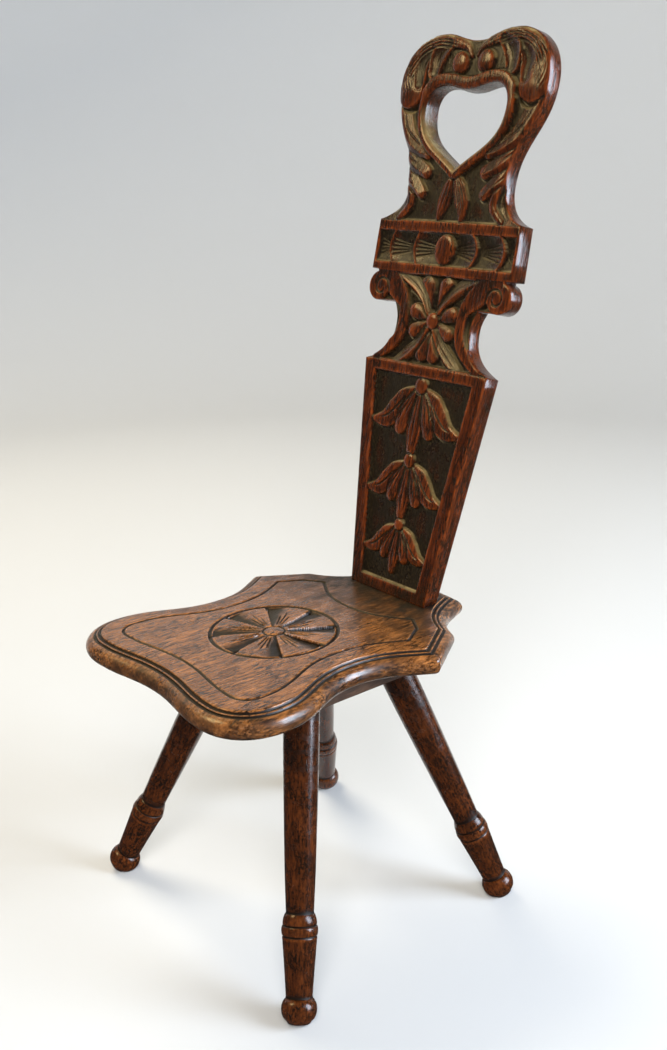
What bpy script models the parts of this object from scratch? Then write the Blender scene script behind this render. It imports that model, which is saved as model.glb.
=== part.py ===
"""Carved oak spinning chair: shaped seat, raked plank back with a heart hand-hold, splayed turned legs.

Metres, +Z up. The chair faces -Y and stands on Z = 0, and the origin lies under the middle of its box.
Plan sizes are measured from the centre of the seat's carved roundel, and an empty then moves the chair
to its origin. Sizes of the back are measured up its raked front face, from the seat.
"""

import math

import bmesh
import bpy
from mathutils import Matrix, Vector

# Fits and cuts
FIT_GAP = 0.0003
CUT_PAST = 0.004
HANDLE_SHARE = 0.42
SPAN_STEPS = 7

# Seat board, plan outline of its widest line (right half, x then y)
SEAT_TOP_Z = 0.337
SEAT_THICKNESS = 0.0255
SEAT_REAR_Y = 0.226
SEAT_TAIL = (0.066, 0.2225)
SEAT_NOTCH = (0.1244, 0.151)
SEAT_CORNER = (0.1645, 0.0905)
SEAT_WAIST = (0.130, 0.008)
SEAT_LOBE_SIDE = (0.1605, -0.103)
SEAT_LOBE_FRONT = (0.098, -0.166)
SEAT_FRONT_DIP_Y = -0.1555

# Seat edge moulding, from the top inwards and down
BULLNOSE_WIDTH = 0.012
BULLNOSE_STEPS = 8
FILLET_WIDTH = 0.0055
FILLET_DROP = 0.0018
BULLNOSE_DROP = 0.0014

# Carving of the seat top
LINE_DEPTH = 0.0013
LINE_INSET = 0.0405
LINE_REAR_Y = 0.1045
LINE_REAR_CORNER = (0.077, 0.133)
LINE_MIDDLE_CORNER = (0.0995, 0.1185)
LINE_SIDE_CORNER = (0.1155, 0.092)
ROUNDEL_RADIUS = 0.0693
ROUNDEL_RIM_DEPTH = 0.0016
ROUNDEL_RIM_STEPS = 40
HUB_RADIUS = 0.0115
PETAL_COUNT = 8
PETAL_START = 15.0
PETAL_CUT_DEPTH = 0.0028
PETAL_CUT_WIDTH = 0.018
PETAL_RIM_MARGIN = 0.004

# Back board: heights of its zones up the front face, stacked from the seat
PANEL_HEIGHT = 0.2645
SCROLL_HEIGHT = 0.1040
BAND_HEIGHT = 0.0570
BAND_FOOT_S = PANEL_HEIGHT + SCROLL_HEIGHT
HANDLE_FOOT_S = BAND_FOOT_S + BAND_HEIGHT

# Back board, outline on its front face (right half, x then distance up the face)
BACK_FOOT_Y = 0.1626
BACK_RAKE = math.radians(12.5)
BACK_THICKNESS = 0.021
BACK_DIP_S = HANDLE_FOOT_S + 0.1935
BACK_LOBE_TOP = (0.054, HANDLE_FOOT_S + 0.203)
BACK_LOBE_SIDE = (0.110, HANDLE_FOOT_S + 0.1475)
BACK_WAIST = (0.0745, HANDLE_FOOT_S + 0.0425)
BAND_TOP = (0.1088, HANDLE_FOOT_S)
BAND_BOTTOM = (0.1103, BAND_FOOT_S)
VOLUTE_CENTRE = (0.0945, BAND_FOOT_S - 0.019)
VOLUTE_RADIUS = 0.017
VOLUTE_STEPS = 12
NOTCH_GAP = 0.0018
SCROLL_CUSP = (0.0665, BAND_FOOT_S - 0.035)
SCROLL_NECK = (0.059, PANEL_HEIGHT + 0.0455)
PANEL_TOP = (0.0975, PANEL_HEIGHT)
PANEL_FOOT_X = 0.0624

# Heart hand-hold and its raised moulding
HEART_DIP_S = HANDLE_FOOT_S + 0.1405
HEART_TOP = (0.038, HANDLE_FOOT_S + 0.146)
HEART_SIDE = (0.0608, HANDLE_FOOT_S + 0.1225)
HEART_TIP_S = HANDLE_FOOT_S + 0.056
HEART_MOULDING = 0.0075
HEART_RISE = 0.003
HANDLE_DROP = 0.0035
HANDLE_DROP_FROM_S = HANDLE_FOOT_S + 0.0065

# Sunk grounds of the carving on the back
GROUND_DEPTH = 0.0045
PANEL_BORDER_SIDE = 0.0175
PANEL_BORDER_TOP = 0.0105
PANEL_BORDER_FOOT = 0.0135
FRIEZE_BORDER = 0.0090
FRIEZE_END_STOP = 0.0035
FRIEZE_BOSS_RADII = (0.0145, 0.0170)
BOSS_STEPS = 24
SCROLL_FILLET = 0.0135
SCROLL_BORDER = 0.0030
FLOWER_CENTRE_S = PANEL_HEIGHT + 0.0535
FLOWER_BOSS_RADIUS = 0.0090
FLOWER_BOSS_STEPS = 12
LEAF_LENGTH = 0.047
LEAF_WIDTH = 0.020
LEAF_HEADINGS = (42.0, 138.0, 222.0, 318.0)

# Bellflowers: shares of the sunk panel's height up to each bead, and down one unit of each flower
BEAD_SHARES = (0.957, 0.597, 0.289)
BELL_SHARES = (0.3214, 0.2796, 0.2379)
BEAD_NECK_ANGLE = -40.0
BEAD_STEPS = 6
PETAL_STEPS = 5

# Outline of a bellflower about its bead, where one unit is the sunk panel's half-width
BEAD_RADIUS_SHARE = 0.119
WING_SHOULDER_SHARE = (0.37, -0.168)
WING_TIP_SHARE = (0.84, -0.608)
WING_LOBE_SHARE = (0.42, -0.673)
WING_CROTCH_SHARE = (0.185, -0.492)
BELL_TIP_SHARE = (0.0, -0.982)

# Tenon of the back and its wedges
TENON_HALF_WIDTH = 0.046
TENON_SHOULDER = 0.003
TENON_ROOT = 0.020
TENON_WEDGE_X = 0.024
TENON_WEDGE_DEPTH = 0.016
TENON_WEDGE_THICK = 0.0036
TENON_WEDGE_POINT = 0.0012

# Battens under the seat and their screws
BATTEN_THICKNESS = 0.0155
BATTEN_INNER_X = 0.043
BATTEN_OUTER_X = 0.115
BATTEN_FRONT_Y = -0.070
BATTEN_REAR_Y = 0.140
BATTEN_EDGE_RADIUS = 0.002
SCREW_X = 0.094
SCREW_END_MARGIN = 0.020
SCREWS_PER_BATTEN = 3
SCREW_SEAT_BITE = 0.013
SCREW_HEAD_RADIUS = 0.0045
SCREW_HEAD_DEPTH = 0.0030
SCREW_SHANK_RADIUS = 0.0022
SCREW_POINT = 0.004
SCREW_SIDES = 12
SCREW_SLOT_WIDTH = 0.0012
SCREW_SLOT_DEPTH = 0.0011

# Legs: plan places of the foot and of the head at the batten's underside
FOOT_CENTRE_Z = 0.0141
FRONT_FOOT = (0.1724, -0.1111)
FRONT_HEAD = (0.0691, -0.0174)
REAR_FOOT = (0.1590, 0.1930)
REAR_HEAD = (0.0645, 0.1085)
LEG_SIDES = 28

# Turned profile of a leg: radii, and heights along its axis from the middle of the bun foot
BUN_RADIUS = 0.0182
BUN_LOW = 0.0140
BUN_STEPS = 9
ANKLE_HEIGHT = 0.0125
ANKLE_RADIUS = 0.0131
CUFF_HEIGHT = 0.0690
CUFF_RADIUS = 0.0179
RING_WIDTH = 0.0018
RING_DEPTH = 0.0009
LOWER_BAND_RADIUS = 0.0186
LOWER_BAND_HEIGHT = 0.0800
UPPER_BAND_RADIUS = 0.0174
UPPER_BAND_HEIGHT = 0.0917
UPPER_BAND_TOP_RADIUS = 0.0152
SHAFT_FOOT_RADIUS = 0.0144
SHAFT_SWELL_RADIUS = 0.0178
SHAFT_SWELL_HEIGHT = 0.200
SHAFT_HEAD_RADIUS = 0.0195

# Round tenon of a leg and the wedge in its end
LEG_TENON_RADIUS = 0.012
SOCKET_DEPTH = 0.0115
LEG_WEDGE_DEPTH = 0.012
LEG_WEDGE_THICK = 0.0034
LEG_WEDGE_POINT = 0.0010
LEG_WEDGE_MARGIN = 0.0025

# Heights that follow from the sizes above
SEAT_BOTTOM_Z = SEAT_TOP_Z - SEAT_THICKNESS
BATTEN_TOP_Z = SEAT_BOTTOM_Z - FIT_GAP
BATTEN_BOTTOM_Z = BATTEN_TOP_Z - BATTEN_THICKNESS

DARK_OAK = ("dark_oak", (0.050, 0.020, 0.010), 0.42, 0.0)
SEAT_OAK = ("seat_oak", (0.150, 0.065, 0.032), 0.40, 0.0)
LEG_OAK = ("leg_oak", (0.065, 0.026, 0.013), 0.38, 0.0)
BATTEN_OAK = ("batten_oak", (0.090, 0.045, 0.022), 0.65, 0.0)
WEDGE_OAK = ("wedge_oak", (0.200, 0.110, 0.055), 0.70, 0.0)
SCREW_IRON = ("screw_iron", (0.110, 0.100, 0.095), 0.50, 1.0)


def clear_scene():
    """Remove every object of the startup scene."""
    for obj in list(bpy.data.objects):
        bpy.data.objects.remove(obj, do_unlink=True)


def new_collection(name):
    collection = bpy.data.collections.new(name)
    bpy.context.scene.collection.children.link(collection)
    return collection


def material_of(spec):
    """The Principled material of a finish, made on its first use."""
    name, colour, roughness, metallic = spec
    material = bpy.data.materials.get(name)
    if material is None:
        material = bpy.data.materials.new(name)
        material.use_nodes = True
        shader = material.node_tree.nodes["Principled BSDF"]
        shader.inputs["Base Color"].default_value = (*colour, 1.0)
        shader.inputs["Roughness"].default_value = roughness
        shader.inputs["Metallic"].default_value = metallic
    return material


def place(obj, parent, finish=None):
    """Put a part in its collection, or a helper with no finish among the cutters."""
    if finish is None:
        obj.hide_render = True
        obj.display_type = "WIRE"
        CUTTERS.objects.link(obj)
    else:
        obj.data.materials.append(material_of(finish))
        obj.data.shade_smooth()
        obj.data.set_sharp_from_angle(angle=math.radians(35))
        PARTS.objects.link(obj)
    obj.parent = parent
    return obj


def boolean(target, other, operation="DIFFERENCE"):
    modifier = target.modifiers.new(f"{operation.lower()}_{other.name}", "BOOLEAN")
    modifier.operation = operation
    modifier.solver = "EXACT"
    modifier.object = other


def flow(knots, steps=SPAN_STEPS):
    """Points along smooth spans through (point, heading in degrees) knots."""
    points = [Vector(knots[0][0])]
    for (start, out_heading), (end, in_heading) in zip(knots, knots[1:]):
        a, d = Vector(start), Vector(end)
        reach = HANDLE_SHARE * (d - a).length
        b = a + reach * heading_vector(out_heading)
        c = d - reach * heading_vector(in_heading)
        for k in range(1, steps + 1):
            t = k / steps
            u = 1 - t
            points.append(u**3 * a + 3 * u * u * t * b + 3 * u * t * t * c + t**3 * d)
    return points


def heading_vector(degrees):
    return Vector((math.cos(math.radians(degrees)), math.sin(math.radians(degrees))))


def ellipse(centre, radii, start=0.0, end=360.0, steps=BOSS_STEPS):
    """Points from one angle to another, in degrees; a full turn leaves out its last point."""
    count = steps if abs(end - start) >= 360.0 else steps + 1
    turn = [start + (end - start) * k / steps for k in range(count)]
    return [
        Vector((centre[0] + radii[0] * heading_vector(a).x, centre[1] + radii[1] * heading_vector(a).y))
        for a in turn
    ]


def mirrored(half):
    """A closed loop from its right half, which starts and ends on the middle line."""
    left = [Vector((-p.x, p.y)) for p in reversed(half[1:-1])]
    return half + left


def inset(loop, distance):
    """The loop moved inwards by a distance, with mitred corners."""
    count = len(loop)
    area = sum(loop[i - 1].cross(loop[i]) for i in range(count))
    side = math.copysign(1.0, area)
    moved = []
    for i in range(count):
        before = (loop[i] - loop[i - 1]).normalized()
        after = (loop[(i + 1) % count] - loop[i]).normalized()
        first = side * Vector((-before.y, before.x))
        second = side * Vector((-after.y, after.x))
        moved.append(loop[i] + (first + second) * (distance / (1 + first.dot(second))))
    return moved


def mesh_of_curve(source, height):
    """A welded mesh object in the place of a curve object, moved up to a height."""
    bpy.context.view_layer.update()
    graph = bpy.context.evaluated_depsgraph_get()
    mesh = bpy.data.meshes.new_from_object(source.evaluated_get(graph))
    mesh.transform(Matrix.Translation((0.0, 0.0, height)))
    bm = bmesh.new()
    bm.from_mesh(mesh)
    bmesh.ops.remove_doubles(bm, verts=bm.verts, dist=1e-6)
    bmesh.ops.recalc_face_normals(bm, faces=bm.faces)
    bm.to_mesh(mesh)
    bm.free()
    name = source.name
    bpy.data.objects.remove(source)
    return bpy.data.objects.new(name, mesh)


def curve_object(name, loops, dimensions):
    curve = bpy.data.curves.new(name, "CURVE")
    curve.dimensions = dimensions
    for loop in loops:
        spline = curve.splines.new("POLY")
        spline.points.add(len(loop) - 1)
        for target, point in zip(spline.points, loop):
            target.co = (point.x, point.y, 0.0, 1.0)
        spline.use_cyclic_u = True
    obj = bpy.data.objects.new(name, curve)
    bpy.context.scene.collection.objects.link(obj)
    return obj


def slab(name, loops, low, high):
    """A flat outline, with any inner loops as holes, filled between two heights."""
    obj = curve_object(name, loops, "2D")
    obj.data.fill_mode = "BOTH"
    obj.data.extrude = (high - low) / 2
    return mesh_of_curve(obj, (low + high) / 2)


def mesh_object(name, bm):
    bmesh.ops.recalc_face_normals(bm, faces=bm.faces)
    mesh = bpy.data.meshes.new(name)
    bm.to_mesh(mesh)
    bm.free()
    return bpy.data.objects.new(name, mesh)


def box(name, low, high):
    bm = bmesh.new()
    bmesh.ops.create_cube(bm, size=1.0)
    size = [b - a for a, b in zip(low, high)]
    middle = [(a + b) / 2 for a, b in zip(low, high)]
    bmesh.ops.scale(bm, vec=size, verts=bm.verts)
    bmesh.ops.translate(bm, vec=middle, verts=bm.verts)
    return mesh_object(name, bm)


def hull(name, groups):
    """One mesh holding the convex solid round each group of points."""
    bm = bmesh.new()
    for points in groups:
        verts = [bm.verts.new(p) for p in points]
        bmesh.ops.convex_hull(bm, input=verts)
    return mesh_object(name, bm)


def tapered_wedge(name, across, depth, thick, point, gap=0.0, tail=0.0):
    """A wedge pointing up +Y from Y = 0: tapering in X, as wide as across in Z, with a tail below."""
    thick_end = thick + (thick - point) * tail / depth
    return hull(name, [[
        (side * width / 2 + math.copysign(gap, side), y, z)
        for side in (-1, 1)
        for width, y in ((thick_end, -tail), (point, depth + gap))
        for z in across
    ]])


def lofted(name, rings):
    """A closed solid through rings of equal count, with a flat cap on the first and last."""
    bm = bmesh.new()
    rows = [[bm.verts.new(p) for p in ring] for ring in rings]
    count = len(rows[0])
    for upper, lower in zip(rows, rows[1:]):
        for i in range(count):
            bm.faces.new((upper[i - 1], upper[i], lower[i], lower[i - 1]))
    bm.faces.new(rows[0])
    bm.faces.new(rows[-1])
    return mesh_object(name, bm)


def turned(name, profile, sides):
    """A profile of (radius, height) points, from the top down, turned about Z."""
    bm = bmesh.new()
    verts = [bm.verts.new((radius, 0.0, height)) for radius, height in profile]
    for upper, lower in zip(verts, verts[1:]):
        bm.edges.new((upper, lower))
    mesh = bpy.data.meshes.new(name)
    bm.to_mesh(mesh)
    bm.free()
    obj = bpy.data.objects.new(name, mesh)
    screw = obj.modifiers.new("turn", "SCREW")
    screw.axis = "Z"
    screw.steps = sides
    screw.render_steps = sides
    screw.use_merge_vertices = True
    screw.merge_threshold = 0.00001
    return obj


def cylinder(name, radius, low, high, sides):
    return turned(name, [(0.0, high), (radius, high), (radius, low), (0.0, low)], sides)


def seat_outline():
    half = flow([((0.0, SEAT_REAR_Y), 0.0), (SEAT_TAIL, -8.0)], 3)
    half += flow([(SEAT_TAIL, -70.0), (SEAT_NOTCH, -22.0)])[1:]
    half += flow([
        (SEAT_CORNER, -120.0),
        (SEAT_WAIST, -90.0),
        (SEAT_LOBE_SIDE, -90.0),
        (SEAT_LOBE_FRONT, 180.0),
        ((0.0, SEAT_FRONT_DIP_Y), 180.0),
    ])
    return mirrored(half)


def seat_rings():
    """Rings of the moulded edge, from the flat top round the bullnose to the underside."""
    nose_top = FILLET_DROP + BULLNOSE_DROP
    nose_half = (SEAT_THICKNESS - nose_top) / 2
    flat_inset = BULLNOSE_WIDTH + FILLET_WIDTH
    steps = [(flat_inset, 0.0), (flat_inset, FILLET_DROP), (BULLNOSE_WIDTH, FILLET_DROP)]
    for k in range(BULLNOSE_STEPS + 1):
        turn = math.pi * (0.5 - k / BULLNOSE_STEPS)
        steps.append((BULLNOSE_WIDTH * (1 - math.cos(turn)), nose_top + nose_half * (1 - math.sin(turn))))
    outline = seat_outline()
    return [[(p.x, p.y, SEAT_TOP_Z - drop) for p in inset(outline, margin)] for margin, drop in steps]


def incised_line():
    """Cutter of the V line that follows the seat's edge."""
    half = flow([((0.0, LINE_REAR_Y), 0.0), (LINE_REAR_CORNER, 35.0)])
    half.append(Vector(LINE_MIDDLE_CORNER))
    half += flow([
        (LINE_SIDE_CORNER, -120.0),
        ((SEAT_WAIST[0] - LINE_INSET, SEAT_WAIST[1]), -90.0),
        ((SEAT_LOBE_SIDE[0] - LINE_INSET, SEAT_LOBE_SIDE[1]), -90.0),
        ((SEAT_LOBE_FRONT[0], SEAT_LOBE_FRONT[1] + LINE_INSET), 180.0),
        ((0.0, SEAT_FRONT_DIP_Y + LINE_INSET), 180.0),
    ])
    obj = curve_object("incised_line_cutter", [mirrored(half)], "3D")
    obj.data.bevel_depth = LINE_DEPTH
    obj.data.bevel_resolution = 0
    return mesh_of_curve(obj, SEAT_TOP_Z)


def roundel_rim():
    """Cutter of the round V line of the roundel: a ring of diamond section at the seat's top."""
    bm = bmesh.new()
    rows = []
    for out, up in ((1, 0), (0, 1), (-1, 0), (0, -1)):
        radius = ROUNDEL_RADIUS + out * ROUNDEL_RIM_DEPTH
        ring = ellipse((0.0, 0.0), (radius, radius), steps=ROUNDEL_RIM_STEPS)
        rows.append([bm.verts.new((p.x, p.y, SEAT_TOP_Z + up * ROUNDEL_RIM_DEPTH)) for p in ring])
    for first, second in zip(rows, rows[1:] + rows[:1]):
        for i in range(ROUNDEL_RIM_STEPS):
            bm.faces.new((first[i - 1], first[i], second[i], second[i - 1]))
    return mesh_object("roundel_rim_cutter", bm)


def petal_cuts():
    """Cutter of the wedge-shaped cuts between the petals: steep on one side, sloping up on the other."""
    inner = HUB_RADIUS
    outer = ROUNDEL_RADIUS - PETAL_RIM_MARGIN
    groups = []
    for k in range(PETAL_COUNT):
        along = heading_vector(PETAL_START + 360.0 * k / PETAL_COUNT)
        across = Vector((along.y, -along.x))
        points = []
        for radius in (inner, outer):
            share = radius / outer
            start = along * radius
            end = start + across * PETAL_CUT_WIDTH * share
            points += [
                (start.x, start.y, SEAT_TOP_Z - PETAL_CUT_DEPTH * share),
                (start.x, start.y, SEAT_TOP_Z + CUT_PAST),
                (end.x, end.y, SEAT_TOP_Z),
                (end.x, end.y, SEAT_TOP_Z + CUT_PAST),
            ]
        groups.append(points)
    return hull("petal_cutter", groups)


def back_outline():
    half = flow([
        ((0.0, BACK_DIP_S), 0.0),
        (BACK_LOBE_TOP, 0.0),
        (BACK_LOBE_SIDE, -90.0),
        (BACK_WAIST, -90.0),
        (BAND_TOP, -15.0),
    ])
    volute = ellipse(VOLUTE_CENTRE, (VOLUTE_RADIUS, VOLUTE_RADIUS), 75.0, -100.0, VOLUTE_STEPS)
    half.append(Vector(BAND_BOTTOM))
    half.append(volute[0] + Vector((0.0, NOTCH_GAP)))
    half += volute
    half += flow([(SCROLL_CUSP, -118.0), (SCROLL_NECK, -90.0), (PANEL_TOP, -22.0)])
    taper = (PANEL_TOP[0] - PANEL_FOOT_X) / PANEL_TOP[1]
    half.append(Vector((PANEL_FOOT_X - taper * TENON_ROOT, -TENON_ROOT)))
    return half + [Vector((-p.x, p.y)) for p in reversed(half[1:])]


def heart_outline():
    return mirrored(flow([
        ((0.0, HEART_DIP_S), 0.0),
        (HEART_TOP, 0.0),
        (HEART_SIDE, -90.0),
        ((0.0, HEART_TIP_S), -142.0),
    ]))


def panel_half_width(s):
    """Half the width of the sunk panel at a height up the back."""
    taper = (PANEL_TOP[0] - PANEL_FOOT_X) / PANEL_HEIGHT
    return PANEL_FOOT_X + taper * s - PANEL_BORDER_SIDE


def bellflower(bead_share, bell_share):
    """Outline of one bellflower: a bead over two drooping wings and a middle petal."""
    bead_radii = (BEAD_RADIUS_SHARE, BEAD_RADIUS_SHARE)
    bead = ellipse((0.0, 0.0), bead_radii, 90.0, BEAD_NECK_ANGLE, BEAD_STEPS)
    wing = flow([(bead[-1], 0.0), (WING_SHOULDER_SHARE, -50.0), (WING_TIP_SHARE, -35.0)], PETAL_STEPS)
    under = flow([
        (WING_TIP_SHARE, 200.0),
        (WING_LOBE_SHARE, 170.0),
        (WING_CROTCH_SHARE, 140.0),
    ], PETAL_STEPS)
    petal = flow([(WING_CROTCH_SHARE, -95.0), (BELL_TIP_SHARE, -150.0)], PETAL_STEPS)
    sunk_height = PANEL_HEIGHT - PANEL_BORDER_TOP - PANEL_BORDER_FOOT
    bead_s = PANEL_BORDER_FOOT + sunk_height * bead_share
    wide, tall = panel_half_width(bead_s), sunk_height * bell_share
    outline = mirrored(bead + wing[1:] + under[1:] + petal[1:])
    return [Vector((wide * p.x, bead_s + tall * p.y)) for p in outline]


def panel_ground():
    """Cutter of the sunk panel, which leaves the bellflowers standing."""
    ends = (PANEL_HEIGHT - PANEL_BORDER_TOP, PANEL_BORDER_FOOT)
    corners = [Vector((panel_half_width(s), s)) for s in ends]
    frame = corners + [Vector((-p.x, p.y)) for p in reversed(corners)]
    flowers = [bellflower(*shares) for shares in zip(BEAD_SHARES, BELL_SHARES)]
    return slab("panel_ground_cutter", [frame, *flowers], -GROUND_DEPTH, CUT_PAST)


def frieze_ground():
    """Cutter of the trough of the frieze, which leaves the middle boss standing."""
    reach = min(BAND_TOP[0], BAND_BOTTOM[0]) - FRIEZE_END_STOP
    low, high = BAND_BOTTOM[1] + FRIEZE_BORDER, BAND_TOP[1] - FRIEZE_BORDER
    trough = [Vector((x, s)) for x, s in ((-reach, low), (reach, low), (reach, high), (-reach, high))]
    boss = ellipse((0.0, (low + high) / 2), FRIEZE_BOSS_RADII)
    return slab("frieze_cutter", [trough, boss], -GROUND_DEPTH, CUT_PAST)


def scroll_ground():
    """Cutter of the ground between the scrolls, which leaves a four-leaf flower standing."""
    top_s = BAND_BOTTOM[1] - SCROLL_BORDER
    foot_s = PANEL_TOP[1] + SCROLL_BORDER
    neck_x = SCROLL_NECK[0] - SCROLL_FILLET
    side = flow([
        ((VOLUTE_CENTRE[0] - VOLUTE_RADIUS - SCROLL_FILLET, top_s), -130.0),
        ((neck_x, SCROLL_NECK[1]), -90.0),
        ((PANEL_TOP[0] - 2 * SCROLL_FILLET, foot_s), -25.0),
    ])
    ground = side + [Vector((-p.x, p.y)) for p in reversed(side)]
    centre = Vector((0.0, FLOWER_CENTRE_S))
    petals = []
    for heading in LEAF_HEADINGS:
        along = heading_vector(heading)
        root = centre + along * (FLOWER_BOSS_RADIUS + 2 * FIT_GAP)
        tip = centre + along * LEAF_LENGTH
        across = Vector((-along.y, along.x)) * LEAF_WIDTH / 2
        middle = (root + tip) / 2
        petals.append([root, middle - across, tip, middle + across])
    boss = ellipse(centre, (FLOWER_BOSS_RADIUS, FLOWER_BOSS_RADIUS), steps=FLOWER_BOSS_STEPS)
    return slab("scroll_cutter", [ground, boss, *petals], -GROUND_DEPTH, CUT_PAST)


def handle_ground():
    """Cutter that lowers the hand-hold's face round the raised heart moulding."""
    reach = BACK_LOBE_SIDE[0] + CUT_PAST
    high = BACK_LOBE_TOP[1] + CUT_PAST
    low = HANDLE_DROP_FROM_S
    field = [Vector((x, s)) for x, s in ((-reach, low), (reach, low), (reach, high), (-reach, high))]
    moulding = inset(heart_outline(), -HEART_MOULDING)
    return slab("handle_cutter", [field, moulding], -HANDLE_DROP, HEART_RISE + CUT_PAST)


def front_face():
    """Cutter that planes the board's face below the hand-hold, where nothing stands above it."""
    reach = BAND_BOTTOM[0] + CUT_PAST
    low = (-reach, -TENON_ROOT - CUT_PAST, 0.0)
    return box("front_face_cutter", low, (reach, HANDLE_DROP_FROM_S + CUT_PAST, HEART_RISE + CUT_PAST))


def leg_axis(foot, head):
    """Foot, unit direction and length of a leg, up to the batten's underside."""
    start = Vector((*foot, FOOT_CENTRE_Z))
    run = Vector((*head, BATTEN_BOTTOM_Z)) - start
    return start, run.normalized(), run.length


def leg_profile(length):
    """Radii and heights of the turned leg, from past its head down to the bun foot."""
    head_height = length + 2 * SHAFT_HEAD_RADIUS
    profile = [
        (0.0, head_height),
        (SHAFT_HEAD_RADIUS, head_height),
        (SHAFT_HEAD_RADIUS, length),
        (SHAFT_SWELL_RADIUS, SHAFT_SWELL_HEIGHT),
        (SHAFT_FOOT_RADIUS, UPPER_BAND_HEIGHT),
        (UPPER_BAND_TOP_RADIUS, UPPER_BAND_HEIGHT),
        (UPPER_BAND_RADIUS, (UPPER_BAND_HEIGHT + LOWER_BAND_HEIGHT) / 2),
        (UPPER_BAND_RADIUS, LOWER_BAND_HEIGHT + RING_WIDTH),
        (UPPER_BAND_RADIUS - RING_DEPTH, LOWER_BAND_HEIGHT),
        (LOWER_BAND_RADIUS, LOWER_BAND_HEIGHT - RING_WIDTH),
        (LOWER_BAND_RADIUS, CUFF_HEIGHT + RING_WIDTH / 2),
        (CUFF_RADIUS - RING_DEPTH, CUFF_HEIGHT),
        (CUFF_RADIUS, CUFF_HEIGHT - RING_WIDTH / 2),
        (ANKLE_RADIUS, ANKLE_HEIGHT),
    ]
    bun_top_angle = math.acos(ANKLE_RADIUS / BUN_RADIUS)
    bun_high = ANKLE_HEIGHT / math.sin(bun_top_angle)
    for k in range(1, BUN_STEPS + 1):
        turn = bun_top_angle - (bun_top_angle + math.pi / 2) * k / BUN_STEPS
        height = bun_high if turn > 0 else BUN_LOW
        profile.append((max(BUN_RADIUS * math.cos(turn), 0.0), height * math.sin(turn)))
    profile[-1] = (0.0, -BUN_LOW)
    return profile


def screw_profile(length, gap=0.0, mouth=0.0):
    """A countersunk screw pointing up, its head's face at Z = 0, or the hole that it goes in."""
    profile = [
        (0.0, length + gap),
        (SCREW_SHANK_RADIUS + gap, length + gap - SCREW_POINT),
        (SCREW_SHANK_RADIUS + gap, SCREW_HEAD_DEPTH),
        (SCREW_HEAD_RADIUS + gap, 0.0),
    ]
    if mouth:
        profile.append((SCREW_HEAD_RADIUS + gap, -mouth))
    return profile + [(0.0, -mouth)]


def build_seat(chair):
    seat = place(lofted("seat_board", seat_rings()), chair, SEAT_OAK)
    for cutter in (incised_line(), roundel_rim(), petal_cuts()):
        boolean(seat, place(cutter, chair))
    return seat


def build_back(chair, seat):
    """The plank, its tenon through the seat, and the two wedges that spread the tenon."""
    back_frame = bpy.data.objects.new("back_frame", None)
    PARTS.objects.link(back_frame)
    back_frame.location = (0.0, BACK_FOOT_Y, SEAT_TOP_Z)
    back_frame.rotation_euler.x = math.pi / 2 - BACK_RAKE
    back_frame.parent = chair

    reach = SEAT_CORNER[0]
    span = SEAT_REAR_Y - SEAT_LOBE_FRONT[1]
    low_y, high_y = SEAT_LOBE_FRONT[1], SEAT_REAR_Y + span
    low = (-reach, low_y, 0.0)
    below_seat_top = place(box("below_seat_top", low, (reach, high_y, SEAT_TOP_Z + FIT_GAP)), chair)
    below_seat = place(box("below_seat", low, (reach, high_y, SEAT_BOTTOM_Z)), chair)

    board = place(slab("back_board", [back_outline()], -BACK_THICKNESS, HEART_RISE), back_frame, DARK_OAK)
    heart = slab("heart_cutter", [heart_outline()], -BACK_THICKNESS - CUT_PAST, HEART_RISE + CUT_PAST)
    grounds = (panel_ground(), frieze_ground(), scroll_ground(), handle_ground())
    for cutter in (front_face(), heart, *grounds):
        boolean(board, place(cutter, back_frame))
    boolean(board, below_seat_top)

    seat_run = SEAT_THICKNESS / math.cos(BACK_RAKE)
    past = BACK_THICKNESS
    rear, front = -BACK_THICKNESS + TENON_SHOULDER, -TENON_SHOULDER
    tenon_low = (-TENON_HALF_WIDTH, -seat_run - past, rear)
    tenon = place(box("back_tenon", tenon_low, (TENON_HALF_WIDTH, TENON_ROOT, front)), back_frame)
    boolean(tenon, below_seat)
    boolean(board, tenon, "UNION")
    wall = TENON_HALF_WIDTH + FIT_GAP
    mortise_low = (-wall, -seat_run - past, rear - FIT_GAP)
    mortise = box("back_mortise", mortise_low, (wall, past, front + FIT_GAP))
    boolean(seat, place(mortise, back_frame))

    wedge_size = (TENON_WEDGE_DEPTH, TENON_WEDGE_THICK, TENON_WEDGE_POINT)
    for side, x in (("left", -TENON_WEDGE_X), ("right", TENON_WEDGE_X)):
        foot = (x, -seat_run, 0.0)
        wedge = tapered_wedge(f"back_wedge_{side}", (rear, front), *wedge_size, tail=past)
        wedge.location = foot
        boolean(place(wedge, back_frame, WEDGE_OAK), below_seat)
        kerf_faces = (rear - CUT_PAST, front + CUT_PAST)
        kerf_tail = past + CUT_PAST
        kerf = tapered_wedge(f"back_kerf_{side}", kerf_faces, *wedge_size, gap=FIT_GAP, tail=kerf_tail)
        kerf.location = foot
        boolean(board, place(kerf, back_frame))


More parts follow.
